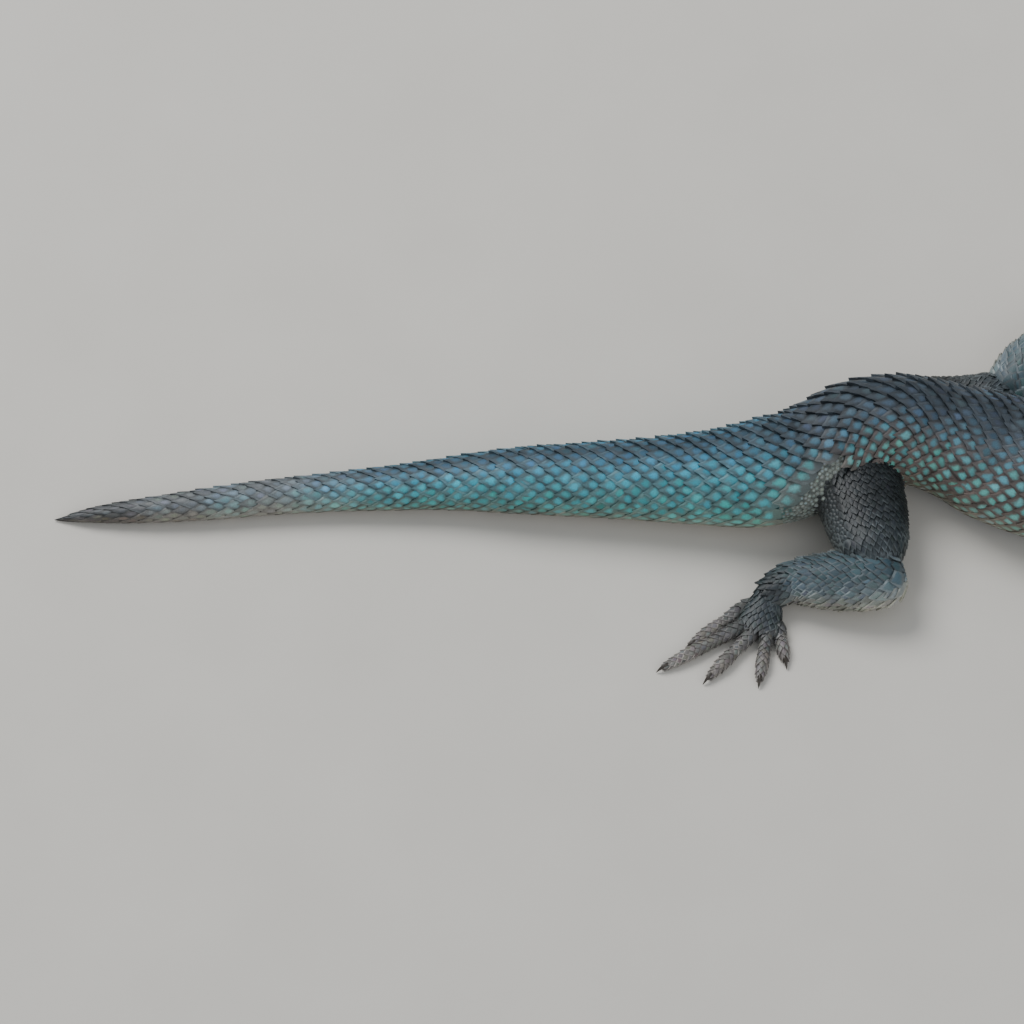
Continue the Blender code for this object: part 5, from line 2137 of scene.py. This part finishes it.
    def _ears(self, scales: Scales, coat: Coat) -> None:
        """The pointed scales that stand over the front edge of each ear.

        Args:
            scales: what lays them.
            coat: the coat that gets them.
        """
        head = scales.animal.head
        ear, _, above = head.sizes.ear
        station = np.array([ear - 3.4, ear - 3.7, ear - 3.7, ear - 3.4])
        lay = Lay(length=3.1, half_width=0.6, tilt=0.9, thick=0.25, keel=0.3, point=0.2, droop=0.5, sink=0.1)
        middle = head.side_turn(ear, above)
        turn = middle + np.array([-1.7, -0.6, 0.5, 1.6]) * FULL_TURN / float(head.form.girth_at(ear))
        for hand in (1.0, -1.0):
            scales.lay(coat, head.form, 6, station, hand * turn, lay)


@dataclass
class GranuleCoat:
    """The small round scales that fill the skin where no other scale grows.

    Attributes:
        half_width: half the width of one at the usual spacing.
        length: its length, as a multiple of its width.
        depth: how far it reaches into the skin.
        height: how far it stands out of it.
        usual: the spacing at which these sizes hold.
        gap: how far granules keep from other scales.
        at_eyes: the spacing on the lids, and how far beyond them it goes on.
        ahead: the spacing on the front of the body, and the x where that starts.
        behind: the spacing elsewhere.
        pebbled: how far those of the trunk take the colours of pebbled skin.
    """

    half_width: float = 0.55
    length: float = 1.12
    depth: float = 0.25
    height: float = 0.26
    usual: float = 0.8
    gap: float = 0.62
    at_eyes: tuple[float, float] = (0.55, 1.6)
    ahead: tuple[float, float] = (0.7, 50.0)
    behind: float = 0.66
    pebbled: float = 0.8

    def spacing(self, skin: SkinShape, point: Array) -> float:
        """The distance between granules: finer on the lids than behind the thighs.

        Args:
            skin: the skin.
            point: a place on it.

        Returns:
            The distance in millimetres.
        """
        on_lids, beyond = self.at_eyes
        if min(np.linalg.norm(point - centre) for centre, _ in skin.eyes()) < skin.LID_RADIUS + beyond:
            return on_lids
        in_front, start = self.ahead
        return in_front if point[0] > start else self.behind

    def cover(self, scales: Scales) -> Coat:
        """Sets the granules on the skin.

        Args:
            scales: what has laid the other scales.

        Returns:
            The granules' coat.
        """
        coat, skin = Coat("coat_granules"), scales.skin
        covered = tree_of(np.concatenate(scales.cover))
        points, normals = skin.points_and_normals()
        bare = np.array([covered.find(point)[2] > self.gap for point in points])
        bare &= (points[:, 2] > 0.25) & ~skin.in_opening(points)
        chosen = self._spread_out(scales, points, np.nonzero(bare)[0])
        log.info("granules: %d", len(chosen))
        places, normals = points[chosen], normals[chosen]
        back, core, rim, unwrap = self._belonging(scales, places)
        back -= (back * normals).sum(1, keepdims=True) * normals
        back /= np.linalg.norm(back, axis=1, keepdims=True)
        aside = np.cross(normals, back)
        spacings = np.array([self.spacing(skin, place) for place in places])[:, None, None]
        shape = scales.shapes[4]
        along, across, reach = shape.disc()
        dome = self.height * (1.0 - 0.85 * reach**2)
        height = np.where(shape.lower, -self.depth, dome)[None, :, None]
        spread = np.where(shape.lower, 0.9, 1.0)[None, :, None] * spacings * self.half_width / self.usual
        points = (
            places[:, None]
            + spread * self.length * along[None, :, None] * back[:, None]
            + spread * across[None, :, None] * aside[:, None]
            + height * normals[:, None] * spacings / self.usual
        )
        coat.add(shape, points, *scales.vary(core, rim), unwrap, round_plate=True)
        return coat

    def _spread_out(self, scales: Scales, points: Array, bare: Array) -> list[int]:
        """Chooses points in a random order, none nearer to another than granules may be.

        Args:
            scales: what gives the random order.
            points: places on the skin.
            bare: the numbers of those to choose from.

        Returns:
            The numbers of the chosen ones.
        """
        chosen: list[int] = []
        grid: dict[tuple[int, int, int], list[int]] = {}
        steps = list(product((-1, 0, 1), repeat=3))
        for k in scales.random.permutation(bare):
            spacing = self.spacing(scales.skin, points[k])
            x, y, z = cell = tuple(np.floor(points[k]).astype(int))
            around = [other for i, j, n in steps for other in grid.get((x + i, y + j, z + n), ())]
            if all(np.linalg.norm(points[k] - points[other]) > spacing for other in around):
                grid.setdefault(cell, []).append(k)
                chosen.append(k)
        return chosen

    def _belonging(self, scales: Scales, places: Array) -> tuple[Array, Array, Array, Array]:
        """What granules take from the forms that they lie on.

        Args:
            scales: what knows the forms and their markings.
            places: the granules' places.

        Returns:
            The way back along the form, the core and rim colours, and the places on the unwrap.
        """
        back, core, rim = (np.empty_like(places) for _ in range(3))
        unwrap = np.empty((len(places), 2))
        owner, station, turn = scales.animal.owners(places)
        for number, form in enumerate(scales.animal.forms):
            mine = np.nonzero(owner == number)[0]
            if len(mine):
                here, there = (form.at(station[mine] + ahead, turn[mine], 0.0) for ahead in (0.0, 0.5))
                back[mine] = there - here
                colours = scales.markings.paint(form, station[mine], turn[mine])
                share = np.full(len(mine), self.pebbled if form.region is Region.SPINE else 0.0)
                core[mine], rim[mine] = scales.markings.pebbled(*colours, share)
                unwrap[mine] = form.unwrap(station[mine], turn[mine])
        return back, core, rim, unwrap


# The inputs of a Map Range node that its range needs, in order.
MAP_RANGE = ("Value", "From Min", "From Max", "To Min", "To Max")


def add_node(
    tree: NodeTree, kind: str, inputs: dict | None = None, **settings: object
) -> Node:
    """Adds a shader node with its settings and links.

    Args:
        tree: the node tree that gets it.
        kind: the node's type, without the words that all start with.
        inputs: for each input by name or number, its value, the socket to link, or a node whose first output
            is linked.
        settings: the node's own properties.

    Returns:
        The new node.
    """
    node = tree.nodes.new("ShaderNode" + kind)
    for name, value in settings.items():
        setattr(node, name, value)
    for name, value in (inputs or {}).items():
        if isinstance(value, Node):
            value = value.outputs[0]
        if isinstance(value, NodeSocket):
            tree.links.new(value, node.inputs[name])
        else:
            node.inputs[name].default_value = value
    return node


class Finish:
    """A surface finish, made into a material of its own name."""

    name: str

    def material(self) -> Material:
        """Makes the material, with its patterns laid out in the object's own space.

        Returns:
            The material.
        """
        material = bpy.data.materials.new(self.name)
        material.use_nodes = True
        tree = material.node_tree
        tree.nodes.clear()
        place = add_node(tree, "TexCoord").outputs["Object"]
        shader = add_node(tree, "BsdfPrincipled", self.surface(tree, place))
        add_node(tree, "OutputMaterial", {"Surface": shader})
        return material

    def surface(self, tree: NodeTree, place: NodeSocket) -> dict[str, object]:
        """What goes into the finish's shader.

        Args:
            tree: the material's nodes.
            place: the place on the object.

        Returns:
            A value, a socket or a node for each input.
        """
        raise NotImplementedError


@dataclass(frozen=True)
class ScaleHorn(Finish):
    """Keratin scales of a live lizard, like satin horn: a bright spot, a dull rim and a dark outline.

    Attributes:
        name: the material's name.
        spot: where the change from core to rim starts and ends, as a share of the way out.
        roughness: of the surface, from its smoothest to its dullest grain.
        grain_mm: the size of the striae.
        blotch_mm: the size of the uneven patches of pigment.
        dust_mm: the size of the patches where the outlines are dusty instead of dark.
        bump_mm: the depth of the grain.
        outline: where a scale's outline starts and is full, as a share of the way out, and its strength.
    """

    name: str
    spot: tuple[float, float] = (0.56, 1.2)
    roughness: tuple[float, float] = (0.4, 0.62)
    grain_mm: float = 0.22
    blotch_mm: float = 1.1
    dust_mm: float = 3.5
    bump_mm: float = 0.05
    outline: tuple[float, float, float] = (0.93, 1.04, 0.85)

    def surface(self, tree: NodeTree, place: NodeSocket) -> dict[str, object]:
        """The colour by the way out from the scale's bright spot, and the grain."""
        core, rim, across, along = (
            add_node(tree, "Attribute", attribute_name=name).outputs[output]
            for name, output in (("Core", "Color"), ("Rim", "Color"), ("Across", "Fac"), ("Along", "Fac"))
        )
        grain, blotch, dust = (
            add_node(tree, "TexNoise", {"Vector": place, "Scale": 1.0 / (size * MM), "Detail": detail})
            for size, detail in ((self.grain_mm, 3.0), (self.blotch_mm, 3.0), (self.dust_mm, 2.0))
        )
        side, fore = (add_node(tree, "Math", {0: value}, operation="ABSOLUTE") for value in (across, along))
        spot = add_node(tree, "CombineXYZ", {"X": side, "Y": fore})
        radius = add_node(tree, "VectorMath", {0: spot}, operation="LENGTH").outputs["Value"]
        rear = add_node(tree, "Math", {0: along, 1: 0.0}, operation="MAXIMUM")
        edge = add_node(tree, "Math", {0: side, 1: rear}, operation="ADD")
        uneven = add_node(tree, "Math", {0: blotch, 1: 0.9, 2: radius}, operation="MULTIPLY_ADD")
        share, dusty, at_edge = (
            add_node(tree, "MapRange", dict(zip(MAP_RANGE, values)), interpolation_type="SMOOTHSTEP")
            for values in (
                (uneven, *self.spot, 0.0, 1.0),
                (dust, 0.44, 0.62, 0.62, 1.6),
                (edge, *self.outline[:2], 0.0, self.outline[2]),
            )
        )
        mixed = add_node(tree, "Mix", {0: share, 6: core, 7: rim}, data_type="RGBA").outputs[2]
        line = add_node(tree, "VectorMath", {0: rim, 3: dusty}, operation="SCALE")
        lined = add_node(tree, "Mix", {0: at_edge, 6: mixed, 7: line}, data_type="RGBA").outputs[2]
        light = add_node(tree, "MapRange", dict(zip(MAP_RANGE, (grain, 0.3, 0.7, 0.84, 1.16))))
        smoothest, dullest = self.roughness
        bump = {"Height": grain, "Strength": 0.6, "Distance": self.bump_mm * MM}
        return {
            "Base Color": add_node(tree, "VectorMath", {0: lined, 3: light}, operation="SCALE"),
            "Roughness": add_node(tree, "MapRange", {"Value": grain, "To Min": smoothest, "To Max": dullest}),
            "Normal": add_node(tree, "Bump", bump),
        }


@dataclass(frozen=True)
class BareSkin(Finish):
    """Granular skin between the scales: matt and finely pebbled, with painted shade in the grooves between
    its pebbles.

    Attributes:
        name: the material's name.
        pebble_mm: the size of its pebbles.
        bump_mm: how far they stand out.
        roughness: of the surface.
    """

    name: str = "pebbled_skin"
    pebble_mm: float = 0.45
    bump_mm: float = 0.12
    roughness: float = 0.66

    def surface(self, tree: NodeTree, place: NodeSocket) -> dict[str, object]:
        """The markings' colour, darkened by painted shade between the raised cells and a little lighter on
        their tops.
        """
        core = add_node(tree, "Attribute", attribute_name="Core")
        cells = add_node(tree, "TexVoronoi", {"Vector": place, "Scale": 1.0 / (self.pebble_mm * MM)})
        # Painted shade: the colour follows the pebbles' height, darkest in the grooves between them.
        dark = add_node(tree, "MapRange", dict(zip(MAP_RANGE, (cells, 0.1, 0.8, 1.15, 0.5))))
        height = add_node(tree, "Math", {0: 1.0, 1: cells}, operation="SUBTRACT")
        bump = {"Height": height, "Strength": 0.8, "Distance": self.bump_mm * MM}
        return {
            "Base Color": add_node(tree, "VectorMath", {0: core, 3: dark}, operation="SCALE"),
            "Roughness": self.roughness,
            "Normal": add_node(tree, "Bump", bump),
        }


@dataclass(frozen=True)
class WetEye(Finish):
    """A wet eyeball: a black round pupil, a bronze iris and a dark border, under a clear glossy surface.

    Attributes:
        name: the material's name.
        stops: the colours outwards from the pupil's middle, at shares of half a turn.
        fleck_mm: the size of the flecks of the iris.
    """

    name: str = "wet_eye"
    stops: tuple[tuple[float, str], ...] = (
        (0.0, "#050505"), (0.118, "#060606"), (0.128, "#8A6E46"), (0.16, "#665034"), (0.215, "#46382B"),
        (0.245, "#17120F"),
    )
    fleck_mm: float = 0.3

    def surface(self, tree: NodeTree, place: NodeSocket) -> dict[str, object]:
        """Rings of colour round the pupil, broken by flecks."""
        angle = add_node(tree, "Attribute", attribute_name="Along").outputs["Fac"]
        size = 1.0 / (self.fleck_mm * MM)
        fleck = add_node(tree, "TexNoise", {"Vector": place, "Scale": size, "Detail": 3.0})
        rings = add_node(tree, "ValToRGB", {"Fac": angle})
        while len(rings.color_ramp.elements) < len(self.stops):
            rings.color_ramp.elements.new(0.5)
        for element, (where, code) in zip(rings.color_ramp.elements, self.stops):
            element.position = where
            element.color = (*linear(code), 1.0)
        light = add_node(tree, "MapRange", dict(zip(MAP_RANGE, (fleck, 0.3, 0.7, 0.65, 1.35))))
        colour = add_node(tree, "VectorMath", {0: rings, 3: light}, operation="SCALE")
        return {
            "Base Color": colour, "Roughness": 0.08, "IOR": 1.38, "Coat Weight": 0.5, "Coat Roughness": 0.03,
        }


@dataclass(frozen=True)
class StreakedFinish(Finish):
    """A finish whose colour wanders between two.

    Attributes:
        name: the material's name.
        colours: the two colours.
        streak_mm: how long the streaks or clouds are.
        detail: how finely they are broken up.
        roughness: of the surface.
    """

    name: str
    colours: tuple[str, str]
    streak_mm: float
    detail: float
    roughness: float

    def surface(self, tree: NodeTree, place: NodeSocket) -> dict[str, object]:
        """The mixed colour and one roughness."""
        cloud = add_node(
            tree, "TexNoise", {"Vector": place, "Scale": 1.0 / (self.streak_mm * MM), "Detail": self.detail}
        )
        first, second = ((*linear(code), 1.0) for code in self.colours)
        mixed = add_node(tree, "Mix", {0: cloud, 6: first, 7: second}, data_type="RGBA").outputs[2]
        return {"Base Color": mixed, "Roughness": self.roughness}


# Claw horn is dark, smooth and slightly glossy, streaked along its length.
CLAW_HORN = StreakedFinish("claw_horn", ("#1B1917", "#4A423A"), 0.3, 2.0, 0.35)
# A plaster floor is matt, with the faintest mottling.
PALE_FLOOR = StreakedFinish("pale_floor", ("#D9D5CD", "#CFCBC3"), 25.0, 3.0, 0.9)


@dataclass
class SkinPiece:
    """The skin as a finished piece, with the animal's markings.

    Attributes:
        core_share: how much of the scales' core colour it takes.
        rim_share: how much of their rim colour it takes.
        painted_hollow_shade: how light the skin is in the eyes' openings, the ears and the nostrils, as
            painted shade in these hollows.
    """

    core_share: float = 0.25
    rim_share: float = 0.45
    painted_hollow_shade: float = 0.3

    FLESH = (
        "head", "neck", "chest", "belly", "pelvis", "tail_1", "tail_2", "tail_3", "tail_4", "tail_5",
        *(f"{part}_{side}" for side in ("right", "left")
          for part in ("upper_arm", "forearm", "hand", "thigh", "shank", "foot")),
    )

    def build(self, skin: SkinShape, markings: Markings, material: Material) -> Object:
        """Colours the skin and lets it replace the solids of flesh.

        Args:
            skin: the joined surface.
            markings: the animal's colours.
            material: the skin's material.

        Returns:
            The finished piece.
        """
        mesh = skin.mesh
        points, _ = skin.points_and_normals()
        owner, station, turn = skin.animal.owners(points)
        core = np.zeros((len(points), 3))
        for number, form in enumerate(skin.animal.forms):
            mine = np.nonzero(owner == number)[0]
            if len(mine):
                centre, rim = markings.paint(form, station[mine], turn[mine])
                core[mine] = self.core_share * centre + self.rim_share * rim
        # Painted shade: the skin in the eyes' openings, the ears and the nostrils is darkened.
        core *= np.where(skin.in_opening(points), self.painted_hollow_shade, 1.0)[:, None]
        give_looks(mesh, Core=core)
        mesh.materials.clear()
        mesh.materials.append(material)
        piece = finish_piece("skin", mesh)
        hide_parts(*self.FLESH)
        return piece


@dataclass
class EyePair:
    """The two eyeballs."""

    def build(self, skin: SkinShape, material: Material) -> None:
        """Makes each eyeball in its socket, with its pupil turned outwards.

        Args:
            skin: the skin, which knows where each eye looks.
            material: the eyeballs' material.
        """
        radius = skin.animal.head.sizes.eye_radius
        for (centre, look), word in zip(skin.eyes(), ("right", "left")):
            bm = bmesh.new()
            bmesh.ops.create_uvsphere(bm, u_segments=48, v_segments=32, radius=radius * MM)
            pole = Vector((0.0, 0.0, 1.0))
            angles = np.array([vertex.co.normalized().angle(pole) / math.pi for vertex in bm.verts])
            turn = pole.rotation_difference(Vector(look)).to_matrix().to_4x4()
            bmesh.ops.transform(bm, matrix=turn, verts=bm.verts)
            bmesh.ops.translate(bm, vec=Vector(centre) * MM, verts=bm.verts)
            mesh = mesh_of(bm, f"eyeball_{word}")
            give_looks(mesh, Along=angles)
            mesh.materials.append(material)
            mesh.shade_smooth()
            piece = finish_piece(f"eyeball_{word}", mesh)
            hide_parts(f"eye_{word}")


@dataclass
class Claws:
    """All claws, as one piece.

    Attributes:
        sides: how many sides a claw's rings have.
        rings: each ring's share of the length, its height over the floor and its radius.
    """

    sides: int = 12
    rings: tuple[tuple[float, float, float], ...] = (
        (-0.45, 0.84, 0.52), (-0.1, 1.04, 0.55), (0.25, 1.14, 0.49), (0.5, 1.02, 0.38), (0.75, 0.73, 0.25),
        (0.92, 0.42, 0.12), (1.0, 0.21, 0.035),
    )

    def build(self, limbs: Iterable[LimbShape], material: Material) -> None:
        """Makes curved, pointed claws, each narrow from side to side.

        Args:
            limbs: the limbs, which know where their toes end.
            material: the claws' material.
        """
        whole = bmesh.new()
        for limb in limbs:
            for claw in limb.claws:
                part = bmesh.new()
                last = len(self.rings) - 1
                bmesh.ops.create_grid(part, x_segments=last, y_segments=self.sides, size=1.0)
                x, y = claw.heading
                heading, aside = np.array([x, y, 0.0]), np.array([-y, x, 0.0])
                for vertex in part.verts:
                    share, height, radius = self.rings[round(0.5 * (vertex.co.x + 1.0) * last)]
                    turn = (vertex.co.y + 1.0) * math.pi
                    middle = np.array([*claw.end, height]) + heading * share * claw.length
                    point = middle + 0.75 * radius * math.sin(turn) * aside
                    point = point + 1.1 * radius * math.cos(turn) * np.array([0.0, 0.0, 1.0])
                    vertex.co = point * MM
                close_sleeve(part)
                add_part(whole, part)
        mesh = mesh_of(whole, "claws")
        mesh.materials.append(material)
        mesh.shade_smooth()
        finish_piece("claws", mesh)


@dataclass
class Studio:
    """The floor, the soft lights and the camera.

    Attributes:
        target: what the camera looks at, in millimetres.
        elevation: the camera's angle above the floor in degrees.
        distance: from the camera to the target, in metres.
        lens: the focal length on a sensor 36 mm wide.
    """

    target: tuple[float, float, float] = (-89.56, -4.7, 0.0)
    elevation: float = 60.0
    distance: float = 1.5
    lens: float = 282.7

    def build(self) -> None:
        """Makes the floor, the lights and the camera."""
        self._floor()
        self._lights()
        self._camera()

    def _floor(self) -> None:
        """A large level floor under the animal."""
        bm = bmesh.new()
        bmesh.ops.create_grid(bm, x_segments=2, y_segments=2, size=3.0)
        mesh = mesh_of(bm, "floor")
        mesh.materials.append(PALE_FLOOR.material())
        floor = bpy.data.objects.new("floor", mesh)
        bpy.context.scene.collection.objects.link(floor)

    def _lights(self) -> None:
        """One broad light from above and behind, a weaker one from the front, and an even sky."""
        scene = bpy.context.scene
        world = bpy.data.worlds.new("sky")
        world.use_nodes = True
        background = world.node_tree.nodes["Background"]
        background.inputs["Color"].default_value = (*linear("#E8EEF5"), 1.0)
        background.inputs["Strength"].default_value = 0.55
        scene.world = world
        aim = Vector(self.target) * MM
        for name, place, size, power in (
            ("key", (-0.5, 0.55, 0.95), 0.7, 11.0),
            ("fill", (0.6, -0.8, 0.7), 1.0, 3.0),
        ):
            light = bpy.data.lights.new(name, "AREA")
            light.shape = "DISK"
            light.size = size
            light.energy = power
            lamp = bpy.data.objects.new(name, light)
            lamp.location = aim + Vector(place)
            lamp.rotation_euler = (-Vector(place)).to_track_quat("-Z", "Y").to_euler()
            scene.collection.objects.link(lamp)

    def _camera(self) -> None:
        """A long lens at the photograph's angle."""
        camera = bpy.data.cameras.new("camera")
        camera.lens = self.lens
        camera.clip_end = 20.0
        rise = math.radians(self.elevation)
        away = Vector((0.0, -math.cos(rise), math.sin(rise))) * self.distance
        viewer = bpy.data.objects.new("camera", camera)
        viewer.location = Vector(self.target) * MM + away
        viewer.rotation_euler = (-away).to_track_quat("-Z", "Y").to_euler()
        bpy.context.scene.collection.objects.link(viewer)
        bpy.context.scene.camera = viewer


def main() -> None:
    """Builds the animal and its setting in order."""
    logging.basicConfig(level=logging.INFO, format="%(message)s")
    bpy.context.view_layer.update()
    Studio().build()
    animal = Animal()
    markings = Markings()
    skin = SkinShape(animal)
    SkinPiece().build(skin, markings, BareSkin().material())
    scales = Scales(animal, skin, markings)
    horn = ScaleHorn("scale_horn").material()
    limb_horn = ScaleHorn("pale_edged_scale_horn", spot=(0.9, 1.5)).material()
    spine_coats = SpineCoat().cover(scales)
    limb_coat = LimbCoat()
    coats = {name: Coat(name) for name in ("coat_hind_right", "coat_hind_left", "coat_fore", "coat_feet")}
    for limb in animal.limbs:
        name = f"coat_hind_{limb.sizes.side}" if limb.sizes.kind == "hind" else "coat_fore"
        limb_coat.cover_limb(scales, coats[name], limb)
        limb_coat.cover_foot(scales, coats["coat_feet"], limb)
    head_coat = HeadCoat().cover(scales)
    granules = GranuleCoat().cover(scales)
    for name, coat in spine_coats.items():
        coat.build(horn, "tail_scales" if name == "tail" else "back_scales")
    for coat in coats.values():
        coat.build(limb_horn, "limb_scales")
    granules.build(horn, "limb_scales")
    head_coat.build(horn, "head_scales")
    EyePair().build(skin, WetEye().material())
    Claws().build(animal.limbs, CLAW_HORN.material())


if __name__ == "__main__":
    main()
